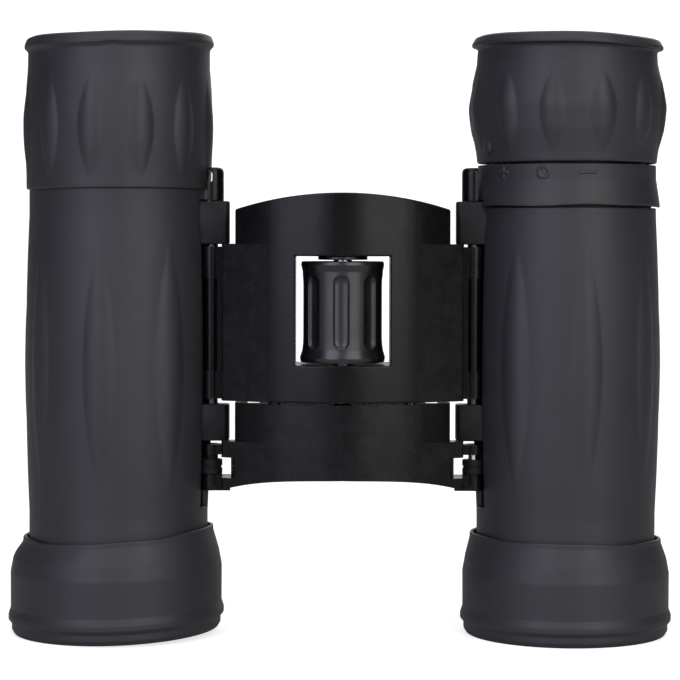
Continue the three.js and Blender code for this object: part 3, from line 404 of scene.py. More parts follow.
def lathe(outline, centre=(0, 0), around=96, closed=True, skin=1e9, fine=0.5, relief=None):
    """Vertices and faces of a body turned about Z. An open outline starts and ends on the axis. The
    relief moves points, given their angle from the front (positive to the right), radius and height."""
    points = divided(filleted(outline, closed), closed, skin, fine)
    if not closed:
        tips, points = points[[0, -1]], points[1:-1]
    angle = np.arange(around) * TURN / around
    radius = np.repeat(points[:, :1], around, 1)
    height = np.repeat(points[:, 1:], around, 1)
    turn = np.repeat(angle[None, :], len(points), 0)
    if relief is not None:
        radius, height = relief(turn, radius, height)
    x = centre[0] + radius * np.sin(turn)
    y = centre[1] - radius * np.cos(turn)
    verts = np.stack([x, y, height], -1).reshape(-1, 3)
    rows = len(points)
    faces = []
    last = rows if closed else rows - 1
    for row in range(last):
        low, high = row * around, (row + 1) % rows * around
        faces += [(low + i, low + (i + 1) % around, high + (i + 1) % around, high + i)
                  for i in range(around)]
    if not closed:
        verts = np.vstack([verts, [[centre[0], centre[1], z] for z in tips[:, 1]]])
        first, final = len(verts) - 2, len(verts) - 1
        top = (rows - 1) * around
        faces += [(first, (i + 1) % around, i) for i in range(around)]
        faces += [(final, top + i, top + (i + 1) % around) for i in range(around)]
    return verts, faces


def new_object(name, verts, faces):
    mesh = bpy.data.meshes.new(name)
    mesh.from_pydata((np.asarray(verts) * MM).tolist(), [], faces)
    mesh.update()
    piece = bpy.data.objects.new(name, mesh)
    bpy.context.scene.collection.objects.link(piece)
    return piece


def face_outwards(piece):
    """Turns a closed mesh's faces outwards, by the sign of its volume."""
    mesh = piece.data
    mesh.calc_loop_triangles()
    spots = np.zeros(len(mesh.vertices) * 3)
    mesh.vertices.foreach_get("co", spots)
    spots = spots.reshape(-1, 3)
    corner = np.zeros(len(mesh.loop_triangles) * 3, int)
    mesh.loop_triangles.foreach_get("vertices", corner)
    a, b, c = (spots[corner[i::3]] for i in range(3))
    if np.einsum("ij,ij->", a, np.cross(b, c)) < 0:
        mesh.flip_normals()


def turned(name, outline, **options):
    piece = new_object(name, *lathe(outline, **options))
    face_outwards(piece)
    return piece


def prism(name, plan, low, high, axis="z"):
    """A plan of (x, y) corners raised along Z, or of (x, z) corners carried along Y."""
    count = len(plan)
    if axis == "z":
        verts = [(x, y, low) for x, y in plan] + [(x, y, high) for x, y in plan]
    else:
        verts = [(x, low, z) for x, z in plan] + [(x, high, z) for x, z in plan]
    faces = [tuple(range(count)), tuple(range(2 * count - 1, count - 1, -1))]
    faces += [(i, i + count, (i + 1) % count + count, (i + 1) % count) for i in range(count)]
    piece = new_object(name, verts, faces)
    face_outwards(piece)
    return piece


def box_between(name, x, y, z):
    x, y, z = sorted(x), sorted(y), sorted(z)
    return prism(name, [(x[0], y[0]), (x[1], y[0]), (x[1], y[1]), (x[0], y[1])], *z)


def round_plan(centre, radius, around):
    turns = [i * TURN / around for i in range(around)]
    return [(centre[0] + radius * math.cos(t), centre[1] + radius * math.sin(t)) for t in turns]


def pillar(name, radius, low, high, centre, around=64):
    return prism(name, round_plan(centre, radius, around), low, high)


def set_down(piece, turn, axis, place):
    """Turns a piece about the origin and then moves it to a place in millimetres."""
    piece.data.transform(Matrix.Rotation(turn, 4, axis))
    piece.data.transform(Matrix.Translation([along * MM for along in place]))
    return piece


def applied(piece):
    """Bakes the piece's modifiers into its mesh."""
    graph = bpy.context.evaluated_depsgraph_get()
    mesh = bpy.data.meshes.new_from_object(piece.evaluated_get(graph))
    piece.modifiers.clear()
    piece.data = mesh
    return piece


def combine(piece, others, operation):
    for other in others:
        step = piece.modifiers.new("cut", "BOOLEAN")
        step.object = other
        step.operation = operation
        step.solver = "EXACT"
    applied(piece)
    for other in others:
        bpy.data.objects.remove(other)
    return piece


def joined(piece, *others):
    return combine(piece, others, "UNION")


def less(piece, *others):
    return combine(piece, others, "DIFFERENCE")


def softened(piece, width, angle=38, segments=3):
    """Rounds every edge sharper than the angle."""
    bevel = piece.modifiers.new("soften", "BEVEL")
    bevel.width = width * MM
    bevel.segments = segments
    bevel.limit_method = "ANGLE"
    bevel.angle_limit = math.radians(angle)
    bevel.use_clamp_overlap = False
    bevel.harden_normals = False
    return applied(piece)


def settle(piece, body, slot, *nodes, crease=32, flat_first=False):
    """Smooth shading up to the crease angle, its finish, its body and the CAD nodes it stands for."""
    mesh = piece.data
    mesh.polygons.foreach_set("use_smooth", [True] * len(mesh.polygons))
    mesh.set_sharp_from_angle(angle=math.radians(crease))
    if flat_first:
        even = piece.modifiers.new("even", "WEIGHTED_NORMAL")
        even.mode = "FACE_AREA"
        even.weight = 90
        even.keep_sharp = True
        mesh = applied(piece).data
    mesh.materials.clear()
    mesh.materials.append(FINISH[slot])
    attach(piece, body)
    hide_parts(*nodes)
    return piece


def smooth_step(value, low, high):
    t = np.clip((value - low) / (high - low), 0, 1)
    return t * t * (3 - 2 * t)


def around_gap(angle, at):
    """Signed angle from a place on the turn, in radians, between -pi and pi."""
    return (angle - math.radians(at) + math.pi) % TURN - math.pi


# ---- petals ----

PETAL_HEIGHT = 0.5


def petal_rise(angle, radius, height, at, count, middle, half, wide):
    """Rise of pointed petals set evenly round a barrel, the first at the angle at."""
    pitch = TURN / count
    off = (angle - math.radians(at) + pitch / 2) % pitch - pitch / 2
    taper = np.clip(1 - ((height - middle) / half) ** 2, 0, None)
    across = off * radius / (wide / 2)
    swell = taper ** 1.5 - across ** 2 / np.maximum(taper, 0.05) ** 0.5
    soft = 0.05
    return PETAL_HEIGHT * (swell + np.sqrt(swell ** 2 + soft ** 2)) / 2 * (taper > 0)


# ---- barrel pieces ----

ARMOUR_BORE = 14.05
ARMOUR_R = 14.7
ARMOUR_SWELL = 0.6
HOUSING_BORE = 13.05
HOUSING_R = 13.9
HINGE_SLOT_R = 2.6
PIN_BORE_R = 1.05
ROD_BORE_R = 1.25
CAP_CLEARANCE_R = 15.75
ARMOUR_PETAL_AT = {"left": -7, "right": 7}
ARMOUR_PETALS = 8
ARMOUR_PETAL_WIDTH = 5.2
PETAL_MIDDLE = 44.5
PETAL_HALF = 20.5


def hinge_column(name, side, radius, low, high):
    return pillar(name, radius, low, high, HINGE[side], 48)


def hinge_block(name, side, low, high, grow=0.0):
    """A block that stands out of the housing round the hinge axis."""
    x, y = HINGE[side]
    sign = SIDES[side]
    inner, outer = x - sign * (2.9 + grow), x + sign * (2.88 + grow)
    half, corner = 2 + grow, 0.5
    plan = [(outer, y - half), (outer, y + half), (inner + sign * corner, y + half),
            (inner, y + half - corner), (inner, y - half + corner), (inner + sign * corner, y - half)]
    return prism(name, plan, low - grow, high + grow)


BLOCKS = ((32.0, 38.0), (64.15, 71.2))


def armour(side):
    foot, top = foot_top(f"{side}_armour_sleeve")
    top += 0.8
    reach = 24.5
    outline = [(ARMOUR_BORE, top), (ARMOUR_BORE, foot), (ARMOUR_R, foot, 0.2)]
    for step in range(9):
        along = step / 4 - 1
        outline.append((ARMOUR_R + ARMOUR_SWELL * (1 - along ** 2), PETAL_MIDDLE + along * reach, 4.0))
    outline.append((ARMOUR_R, top, 0.22))

    def relief(angle, radius, height):
        outer = smooth_step(radius, 14.3, 14.6)
        rise = petal_rise(angle, radius, height, ARMOUR_PETAL_AT[side], ARMOUR_PETALS, PETAL_MIDDLE,
                          PETAL_HALF, ARMOUR_PETAL_WIDTH)
        slow = 0.035 * np.sin(3 * angle + 1.1 * SIDES[side]) * np.sin(height / 9)
        return radius + outer * (rise + slow), height

    sleeve = turned(f"armour_skin_{side}", outline, centre=BARREL[side], around=400, skin=14.5,
                    fine=0.6, relief=relief)
    less(sleeve, hinge_column("slot", side, HINGE_SLOT_R, 21.05, BLOCKS[1][0]))
    for low, high in BLOCKS:
        if low < top:
            less(sleeve, hinge_block("notch", side, low, high, 0.3))
    settle(sleeve, f"{side}_barrel", "rubber_armour", f"{side}_armour_sleeve", crease=40)


def guard(side):
    sign = SIDES[side]
    outline = [
        (13.2, 0, 0.15), (16.4, 0, 0.3), (16.85, 0.75, 0.35), (16.85, 1.75, 0.3), (17.4, 2.4, 0.4),
        (17.4, 3.2, 0.45), (17.02, 4.3, 0.8), (17.05, 10.2, 3.0), (16.6, 12.6, 2.2), (15.62, 15.5, 1.2),
        (15.6, 16.3, 0.25), (15.02, 16.3, 0.22), (15.0, 8.7), (14.05, 8.7), (14.05, 2.9), (13.2, 2.9),
    ]

    def relief(angle, radius, height):
        rim = smooth_step(height, 11.5, 16.3)
        lean = 0.42 * np.sin(angle) * sign * -1
        askew = 0.9 * (0.5 + 0.5 * np.sin(angle)) ** 2 * (sign < 0)
        wave = 0.16 * np.sin(2 * angle + 0.8 * sign) + 0.10 * np.sin(5 * angle + 1.9) \
            + 0.05 * np.sin(9 * angle - 0.7)
        out = 0.22 * (1 - np.cos(angle)) / 2 + 0.10 * np.sin(4 * angle + sign) + 0.06 * np.sin(7 * angle)
        bulk = 0.75 * (0.5 - 0.5 * np.sin(angle)) ** 3 * (sign < 0) * (1 - smooth_step(height, 12.5, 16.5))
        return radius + rim * np.abs(out) + bulk * smooth_step(radius, 15.2, 16.2), \
            height + rim * (lean + wave) + askew

    rubber = turned(f"guard_rubber_{side}", outline, centre=BARREL[side], around=320, skin=15.3,
                    fine=0.55, relief=relief)
    settle(rubber, f"{side}_barrel", "rubber_armour", f"{side}_objective_guard", crease=45)


def housing(side):
    foot, _ = foot_top(f"{side}_barrel_housing")
    top = foot_top("left_armour_sleeve")[1]
    tube = turned(f"housing_shell_{side}",
                  [(HOUSING_BORE, foot), (HOUSING_R, foot, 0.15), (HOUSING_R, top, 0.15),
                   (HOUSING_BORE, top)], centre=BARREL[side], around=160)
    for low, high in BLOCKS:
        block = softened(hinge_block("block", side, low, high), 0.28)
        joined(tube, block)
    x, y = BARREL[side]
    less(tube, pillar("bore", HOUSING_BORE, foot - 1, 74, (x, y), 160))
    less(tube, hinge_column("hinge bore", side, ROD_BORE_R, 31, 71))
    hx, hy = HINGE[side]
    arm_low, arm_high = 23.7, 29.2
    slot = box_between("arm slot", (12.2, 15.6), (-1.4, 1.4), (arm_low, arm_high))
    less(tube, set_down(slot, math.atan2(hy - y, hx - x), "Z", (x, y, 0)))
    settle(tube, f"{side}_barrel", "moulded_casing", f"{side}_barrel_housing", crease=30)


def cap(side):
    x, y = HINGE[side]
    foot = BLOCKS[1][1] + 0.02
    dome = turned(f"hinge_dome_{side}",
                  [(0, foot), (1.95, foot, 0.12), (1.95, foot + 5.5, 1.9), (0, foot + 5.5)],
                  centre=(x, y), around=64, closed=False, skin=1.5, fine=0.5)
    if side == "left":
        hole = [(x - 0.35 + 0.5 * math.cos(i * TURN / 24),
                 foot + 3.9 + 0.5 * math.sin(i * TURN / 24) + (0.45 if i < 12 else -0.45))
                for i in range(24)]
        less(dome, prism("cord hole", hole, y - 4, y + 4, "y"))
    less(dome, pillar("clear of rubber", CAP_CLEARANCE_R, foot - 1, foot + 7, BARREL[side], 240))
    settle(dome, f"{side}_barrel", "bridge_plastic", f"{side}_hinge_cap", crease=35)


# ---- objective end ----

def objective(side):
    x, y = BARREL[side]
    body = f"{side}_objective"
    cell = turned(f"objective_cell_tube_{side}",
                  [(12.2, 5.4), (12.8, 5.4, 0.15), (12.8, 29.8, 0.15), (12.2, 29.8)],
                  centre=(x, y), around=120)
    hx, hy = HINGE[side]
    low, high = 26.5, 28.9
    reach = math.hypot(hx - x, hy - y)
    arm = box_between("arm", (12.5, reach), (-1.1, 1.1), (low, high))
    set_down(arm, math.atan2(hy - y, hx - x), "Z", (x, y, 0))
    collar = turned("collar", [(0, low), (1.78, low, 0.2), (1.78, 27.4, 0.1), (1.62, 27.55), (1.62, 27.8),
                               (1.78, 27.95, 0.1), (1.78, high, 0.2), (0, high)],
                    centre=(hx, hy), around=48, closed=False)
    joined(cell, arm, collar)
    less(cell, hinge_column("pin bore", side, PIN_BORE_R, low - 1, high + 1))
    settle(cell, body, "matt_inner_black", f"{side}_objective_cell")

    def lens(name, low, thick, under, over):
        radius = 11.95
        lower = [(radius * t, low - under * (1 - t * t)) for t in np.linspace(0, 1, 14)]
        upper = [(radius * t, low + thick + over * (1 - t * t)) for t in np.linspace(1, 0, 14)]
        return turned(name, lower + upper, centre=(x, y), around=96, closed=False)

    crown = foot_top(f"{side}_objective_crown_lens")
    settle(lens(f"crown_glass_{side}", 7.8, 2.6, 1.1, crown[1] - 10.4), body, "coated_glass",
           f"{side}_objective_crown_lens", crease=50)
    thread = [(10.95, 5.7, 0.1), (11.95, 5.7, 0.1), (11.95, 7.5, 0.1), (11.2, 7.5, 0.1)]
    ring = turned(f"objective_ring_{side}", thread, centre=(x, y), around=120)
    for turn in (0, math.pi):
        notch = box_between("notch", (10.4, 12.4), (-0.5, 0.5), (5.0, 6.3))
        less(ring, set_down(notch, turn, "Z", (x, y, 0)))
    settle(ring, body, "matt_inner_black", f"{side}_objective_retainer")


# ---- eyepieces ----

EYE_PETAL_AT = {"left": -12, "right": -13.5}
CUP_SHAPE = {
    # radius and height above the cup's foot, up to the neck under the lip
    "left": [(15.2, 0, 0.35), (15.22, 2.2, 2), (15.4, 7.0, 6), (15.45, 12.0, 6), (15.25, 16.5, 6),
             (14.98, 20.0, 4), (14.95, 22.75, 0.7)],
    "right": [(14.75, 0, 0.35), (14.95, 1.6, 2), (15.6, 5.2, 6), (15.95, 9.2, 6), (15.6, 13.2, 6),
              (14.9, 16.3, 5), (14.75, 18.65, 0.7)],
}
CUP_PETALS = {"left": (83.0, 8.6), "right": (85.6, 6.7)}  # middle and half length
CUP_PETAL_COUNT = 12
CUP_PETAL_WIDTH = 4.3


def eyecup(side, body):
    foot, top = foot_top(f"{side}_eyecup")
    foot += 0.38 if side == "left" else 1.05
    outline = [(13.05, foot)] + [(r, foot + z, *rest) for r, z, *rest in CUP_SHAPE[side]]
    tip = 15.55 if side == "left" else 15.75
    outline += [(tip, top - 1.7, 0.2), (tip, top - 1.25, 0.3), (15.2, top - 0.3, 0.5), (14.5, top, 0.5),
                (13.1, top, 0.4),
                (12.3, top - 1.6, 1.0), (11.35, top - 5.9, 1.5), (10.4, top - 7.1, 0.2),
                (10.4, top - 7.9), (13.05, top - 7.9)]
    middle, half = CUP_PETALS[side]
    sign = SIDES[side]

    def relief(angle, radius, height):
        outer = smooth_step(radius, 14.1, 14.4)
        rise = petal_rise(angle, radius, height, EYE_PETAL_AT[side], CUP_PETAL_COUNT, middle, half,
                          CUP_PETAL_WIDTH)
        rolled = smooth_step(height, top - 3.4, top - 2.0) * smooth_step(radius, 12.8, 13.4)
        wave = 0.07 * np.sin(3 * angle + 2.0 * sign) + 0.05 * np.sin(5 * angle + 0.6)
        nick = 0.22 * np.exp(-(around_gap(angle, 1.0) / 0.075) ** 2) * (sign < 0)
        under = rolled * (1 - smooth_step(height, top - 2.0, top - 1.3))
        tilt = -0.34 * sign * np.sin(angle) * smooth_step(height, top - 4.5, top - 1.5) \
            * smooth_step(radius, 12.0, 13.2)
        foot_wave = 0.05 * np.sin(2 * angle + 1) * (1 - smooth_step(height, foot, foot + 1.5))
        return radius + outer * (rise + rolled * wave), \
            height + rolled * wave * 0.8 + under * nick + tilt + foot_wave * outer

    cup = turned(f"eyecup_rubber_{side}", outline, centre=BARREL[side], around=400, skin=14.2,
                 fine=0.4, relief=relief)
    if side == "right":
        joined(cup, index_bump(foot))
    settle(cup, body, "rubber_armour", f"{side}_eyecup", crease=42)


def index_bump(foot):
    """The raised oval that points at the scale."""
    bump = turned("index", [(0, -0.5)] + [(math.sin(a), -0.5 * math.cos(a)) for a in
                                          np.linspace(0.15, math.pi - 0.15, 16)] + [(0, 0.5)],
                  around=40, closed=False)
    bump.data.transform(Matrix.Diagonal((1.0, 1.3, 1.0, 1)))
    bump.data.transform(Matrix.Rotation(math.pi / 2, 4, "X"))
    bump.data.transform(Matrix.Translation((0, -15.0 * MM, (foot + 2.5) * MM)))
    bump.data.transform(Matrix.Rotation(math.radians(-63), 4, "Z"))
    bump.data.transform(Matrix.Translation((BARREL["right"][0] * MM, BARREL["right"][1] * MM, 0)))
    return bump


def bar(u, v, half_u, half_v, edge=0.07):
    return (1 - smooth_step(np.abs(u), half_u - edge, half_u + edge)) \
        * (1 - smooth_step(np.abs(v), half_v - edge, half_v + edge))


def scale_skirt():
    foot, top = foot_top("right_diopter_skirt")
    foot, top = foot + 0.8, top + 1.0
    bore = 14.15
    outline = [(bore, foot), (15.45, foot, 0.2), (15.36, foot + 0.7, 1.0), (14.98, foot + 2.4, 3.0),
               (14.72, foot + 4.2, 3.0)]
    mark_z = top - 1.35
    outline += [(14.68, mark_z - 1.2), (14.66, mark_z + 1.0), (14.65, top, 0.18), (bore, top)]

    def relief(angle, radius, height):
        outer = smooth_step(radius, 14.3, 14.5)
        v = height - mark_z
        plus_u, nought_u, minus_u = (around_gap(angle, at) * radius for at in (-49, -20, 7.5))
        plus = np.maximum(bar(plus_u, v, 0.95, 0.19), bar(plus_u, v, 0.19, 0.95))
        off = np.abs(np.hypot(nought_u / 0.85, v / 0.87) - 1) * 0.86
        nought = 1 - smooth_step(off, 0.14, 0.3)
        minus = bar(minus_u, v, 1.4, 0.22)
        raised = 0.2 * np.maximum(np.maximum(plus, nought), minus)
        low = 1 - smooth_step(height, foot, foot + 2.6)
        wave = 0.12 * np.sin(3 * angle + 0.4) + 0.08 * np.sin(7 * angle + 1.0)
        return radius + outer * (raised + low * wave * 0.6), height + low * wave * outer

    skirt = turned("scale_skirt_rubber", outline, centre=BARREL["right"], around=900, skin=14.55,
                   fine=0.12, relief=relief)
    less(skirt, hinge_block("notch", "right", *BLOCKS[1], 0.3))
    settle(skirt, "right_barrel", "rubber_armour", "right_diopter_skirt", crease=50)


def eye_lens(side, body):
    x, y = BARREL[side]
    for name, finish, thick, under, over in (
        ("field_lens", "clear_glass", 2.2, 0.4, 1.4),
        ("eye_lens", "coated_glass", 2.4, 1.6, 0.6),
    ):
        foot, _, radius = round_size(f"{side}_{name}")
        edge = foot + under
        lower = [(radius * t, edge - under * (1 - t * t)) for t in np.linspace(0, 1, 14)]
        upper = [(radius * t, edge + thick + over * (1 - t * t)) for t in np.linspace(1, 0, 14)]
        lens = turned(f"{name}_glass_{side}", lower + upper, centre=(x, y), around=96, closed=False)
        settle(lens, body, finish, f"{side}_{name}", crease=50)
    foot, top, radius = round_size(f"{side}_eyepiece_retainer")
    ring = turned(f"eye_ring_{side}",
                  [(radius - 1.4, foot, 0.1), (radius, foot), (radius, top, 0.12), (radius - 0.9, top, 0.3)],
                  centre=(x, y), around=120)
    settle(ring, body, "matt_inner_black", f"{side}_eyepiece_retainer")


def eyepiece_tubes():
    foot, top = foot_top("left_eyepiece_tube")
    tube = turned("eye_tube_left", [(10, foot), (12.8, foot, 0.2), (12.8, top, 0.25), (10, top, 0.3)],
                  centre=BARREL["left"], around=120)
    settle(tube, "left_barrel", "moulded_casing", "left_eyepiece_tube")
    foot, top, outer = round_size("right_ocular_cell")
    cell = turned("ocular_cell_tube",
                  [(outer - 0.8, foot), (outer, foot, 0.15), (outer, top, 0.2), (outer - 0.8, top, 0.15)],
                  centre=BARREL["right"], around=120)
    settle(cell, "right_ocular", "matt_inner_black", "right_ocular_cell")
    foot, top = foot_top("right_diopter_core")
    lip = 10.55 + 0.5
    core = turned("diopter_core_ring",
                  [(11.8, foot), (12.8, foot, 0.15), (12.8, top, 0.25), (lip, top, 0.2),
                   (lip, top - 1, 0.1), (11.8, top - 1)], centre=BARREL["right"], around=120)
    settle(core, "diopter_grip", "moulded_casing", "right_diopter_core")


# ---- bridge ----

HUMP_HALF = 17.3592
HUMP_FRONT = 16.6
HUMP_BULGE = 6.3
WING_HALF = 19.5592
WING_FRONT = 12.1
FRAME_BACK = -5.6
BACK = -3.8
WINDOW_HALF = 7.6
WINDOW_Z = (44.9, 62.3)
KNUCKLE_R = 1.78
BARE_ROD_Z = (43.4, 58.6)
NECK_Z = (43, 59)
BRIDGE_WING_TOP = 63.75
FOCUS_WING_TOP = 31.4
COLLAR_NOTCH_Z = (26.45, 29.75)
SCREW_BORE_R = 0.95
GUIDE_X, GUIDE_Y = 11, -8.5
VIEW_HALF = 25  # wider than the whole bridge
WASHER_TOP = 62.27
NUT_SEAT_FOOT = 31.3
SPINDLE_BORE_TOP = 66.8


def arc(half, crown, sag, steps):
    """Points of a shallow arc over -half..half, its crown at height crown."""
    radius = (half ** 2 + sag ** 2) / (2 * sag)
    spread = math.asin(half / radius)
    turns = np.linspace(-spread, spread, steps + 1)
    return [(radius * math.sin(t), crown - radius * (1 - math.cos(t))) for t in turns]


def hump_front():
    """The hump's front as a plan, with no corner close to the window's edges."""
    return [(x, -y) for x, y in arc(HUMP_HALF, HUMP_FRONT, HUMP_BULGE, 72)
            if abs(abs(x) - WINDOW_HALF - 0.15) > 0.42]


def hump(name, low, high):
    return prism(name, hump_front() + [(HUMP_HALF, FRAME_BACK), (-HUMP_HALF, FRAME_BACK)], low, high)


def wing(name, sign, low, high, back=FRAME_BACK):
    """A wing that runs on straight where the hump curves away to its side."""
    radius = (HUMP_HALF ** 2 + HUMP_BULGE ** 2) / (2 * HUMP_BULGE)
    merge = HUMP_HALF - 5.2
    run = math.sqrt(radius ** 2 - merge ** 2)
    front = -(HUMP_FRONT - radius + run)
    slope = merge / run
    bevel = 0.45
    end = front + slope * (WING_HALF - bevel - merge)
    plan = [(merge - 1, front + 2), (merge, front), (WING_HALF - bevel, end), (WING_HALF, end + bevel),
            (WING_HALF, back), (merge - 1, back)]
    return prism(name, [(sign * x, y) for x, y in plan], low, high)


def knuckle(name, side, low, high):
    x, y = HINGE[side]
    sign = SIDES[side]
    web = box_between("web", (sign * (WING_HALF - 1.2), x), (y - KNUCKLE_R + 0.15, BACK), (low, high))
    round_part = pillar(name, KNUCKLE_R, low, high, (x, y), 72)
    return joined(round_part, web)


def front_view(name, outline):
    return prism(name, outline, -HUMP_FRONT - 5, 5, "y")


def screw_places():
    """Middle of each cover screw, seen from the front."""
    for index in range(1, 5):
        low, high = corners(f"cover_screw_{index}")
        yield (low[0] + high[0]) / 2, (low[2] + high[2]) / 2


def bridge_frame():
    foot, top = foot_top("bridge_frame")
    wing_top = BRIDGE_WING_TOP
    arch = 2.65
    shell = hump("bridge_shell", foot, top + 1)
    crown = arc(HUMP_HALF, top, arch, 48)[::-1]
    side_top = top - arch
    view = front_view("arch", [(-VIEW_HALF, 0), (VIEW_HALF, 0), (VIEW_HALF, side_top)] + crown
                      + [(-VIEW_HALF, side_top)])
    window = box_between("window", (-WINDOW_HALF, WINDOW_HALF), (-HUMP_FRONT - 2, 0), WINDOW_Z)
    combine(shell, [view], "INTERSECT")
    less(shell, window)
    softened(shell, 0.3)
    for side, sign in SIDES.items():
        hx, hy = HINGE[side]
        joined(shell, wing("wing", sign, foot, wing_top + 0.5, -7.4))
        joined(shell, box_between("wing back", (sign * 11.3, sign * (WING_HALF - 0.02)),
                                  (-8.1, FRAME_BACK + 0.03), (foot + 0.02, wing_top)))
        joined(shell, box_between("wing root", (sign * (HUMP_HALF + 0.3), sign * WING_HALF),
                                  (FRAME_BACK - 1, BACK), (foot + 0.04, wing_top - 0.02)))
        joined(shell, knuckle("lower knuckle", side, foot, BARE_ROD_Z[0]))
        joined(shell, knuckle("upper knuckle", side, BARE_ROD_Z[1], wing_top))
        joined(shell, pillar("slim neck", 1.5, *NECK_Z, (hx, hy), 64))
        joined(shell, box_between("neck web", (sign * (WING_HALF - 0.6), hx), (-4.7, BACK), NECK_Z))
        less(shell, box_between("pocket", (sign * (WINDOW_HALF + 1.6), sign * (HUMP_HALF - 2.1)),
                                (-WING_FRONT + 2.1, 0), (foot + 2.1, wing_top)))
        less(shell, pillar("rod bore", ROD_BORE_R, foot - 1, wing_top + 1, (hx, hy), 40))
        less(shell, pillar("guide bore", ROD_BORE_R, foot - 1, foot + 5.3, (sign * GUIDE_X, GUIDE_Y), 32))
    less(shell, pillar("spindle bore", 1.75, foot - 1, SPINDLE_BORE_TOP, WHEEL, 40))
    for place in screw_places():
        hole = round_plan(place, SCREW_BORE_R, 24)
        less(shell, prism("screw hole", hole, FRAME_BACK - 3.2, 0, "y"))
    settle(shell, "bridge", "bridge_plastic", "bridge_frame", crease=30, flat_first=True)


LOWER_EDGE = (
    (0, 5.4, 8.2, 11, 12.4, 13.8, 15.2, 16.6, 18.1, 19.5, 20.6, 21.2),  # sideways from the middle
    (2.75, 2.65, 2.53, 2.33, 2.18, 1.96, 1.66, 1.4, 1.05, 0.62, 0.2, 0.0),  # rise above the ears' foot
)


def focus_bridge():
    foot, top = foot_top("focus_bridge")
    wing_top = FOCUS_WING_TOP
    beyond = np.array((18.1, 18.9, 19.8, 20.6, 21.2))
    reach = np.array([*(-beyond[::-1]), *(x for x, _ in hump_front()), *beyond])
    lift = np.polyval(np.polyfit(*LOWER_EDGE, 4), np.abs(reach))
    rise = [(x, foot + max(0.0, z)) for x, z in zip(reach, lift)]
    outline = [(-VIEW_HALF, foot)] + rise + [(VIEW_HALF, foot), (VIEW_HALF, top), (-VIEW_HALF, top)]

    def trimmed(part):
        return combine(part, [front_view("arch", outline)], "INTERSECT")

    body = hump("focus_bridge_shell", foot - 1, top)
    trimmed(body)
    for side, sign in SIDES.items():
        hx, hy = HINGE[side]
        front = wing("wing", sign, foot - 1, wing_top + 1.0, -7.4)
        trimmed(front)
        back = box_between("wing back", (sign * 11.3, sign * (WING_HALF - 0.02)),
                           (-8.1, FRAME_BACK + 0.03), (foot - 1.1, wing_top))
        trimmed(back)
        root = box_between("wing root", (sign * (HUMP_HALF - 1), sign * WING_HALF),
                           (FRAME_BACK - 1, BACK), (foot - 1.2, wing_top - 0.02))
        trimmed(root)
        joined(body, front)
        joined(body, back)
        joined(body, root)
        joined(body, knuckle("ear", side, foot, wing_top))
        notch = [(sign * (WING_HALF - 3.3), -WING_FRONT - 3), (sign * (WING_HALF - 1.5), -WING_FRONT + 3.5),
                 (sign * (WING_HALF - 1.5), 1), (sign * (abs(hx) + 4), 1),
                 (sign * (abs(hx) + 4), -WING_FRONT - 3)]
        less(body, prism("notch", notch, *COLLAR_NOTCH_Z))
        less(body, box_between("pocket", (sign * 13.4, sign * (HUMP_HALF - 1.9)), (-WING_FRONT + 2.1, 0),
                               (wing_top + 1, top + 1)))
        less(body, pillar("pin bore", PIN_BORE_R, foot - 2, wing_top + 1, (hx, hy), 40))
        less(body, pillar("guide bore", ROD_BORE_R, wing_top - 2, top + 1, (sign * GUIDE_X, GUIDE_Y),
                          32))
    less(body, pillar("nut seat", 3.2, NUT_SEAT_FOOT, top + 1, WHEEL, 48))
    settle(body, "focus_bridge", "bridge_plastic", "focus_bridge", crease=30, flat_first=True)


def back_cover():
    low, high = corners("bridge_back_cover")
    corner = 1.3
    outline = []
    for cx, cz, start in ((high[0] - corner, high[2] - corner, 0), (low[0] + corner, high[2] - corner, 90),
                          (low[0] + corner, low[2] + corner, 180), (high[0] - corner, low[2] + corner, 270)):
        for step in range(9):
            a = math.radians(start + step * 90 / 8)
            outline.append((cx + corner * math.cos(a), cz + corner * math.sin(a)))
    cover = prism("back_cover_plate", outline, low[1], high[1], "y")
    less(cover, box_between("window", (-WINDOW_HALF, WINDOW_HALF), (-20, 0), WINDOW_Z))
    for place in screw_places():
        for radius, front in ((SCREW_BORE_R, -8), (1.55, high[1] - 0.8)):
            less(cover, prism("screw seat", round_plan(place, radius, 32), front, 0, "y"))
    softened(cover, 0.2)
    settle(cover, "bridge", "moulded_casing", "bridge_back_cover", crease=30)


def cover_screws():
    for index in range(1, 5):
        low, high = corners(f"cover_screw_{index}")
        cx, cz = (low[0] + high[0]) / 2, (low[2] + high[2]) / 2
        back, front = high[1], low[1]
        screw = turned(f"cover_screw_head_{index}",
                       [(0, front), (0.7, front, 0.15), (0.7, back - 0.5), (1.3, back - 0.42, 0.1),
                        (1.28, back - 0.12, 0.1), (0.7, back), (0, back + 0.02)],
                       around=48, closed=False)
        set_down(screw, -math.pi / 2, "X", (cx, 0, cz))
        for turn in (0, math.pi / 2):
            blade = box_between("blade", (-0.85, 0.85), (back - 0.3, back + 1), (-0.16, 0.16))
            less(screw, set_down(blade, turn + 0.4 * index, "Y", (cx, 0, cz)))
        settle(screw, "bridge", "spring_steel", f"cover_screw_{index}")


# ---- focus wheel ----

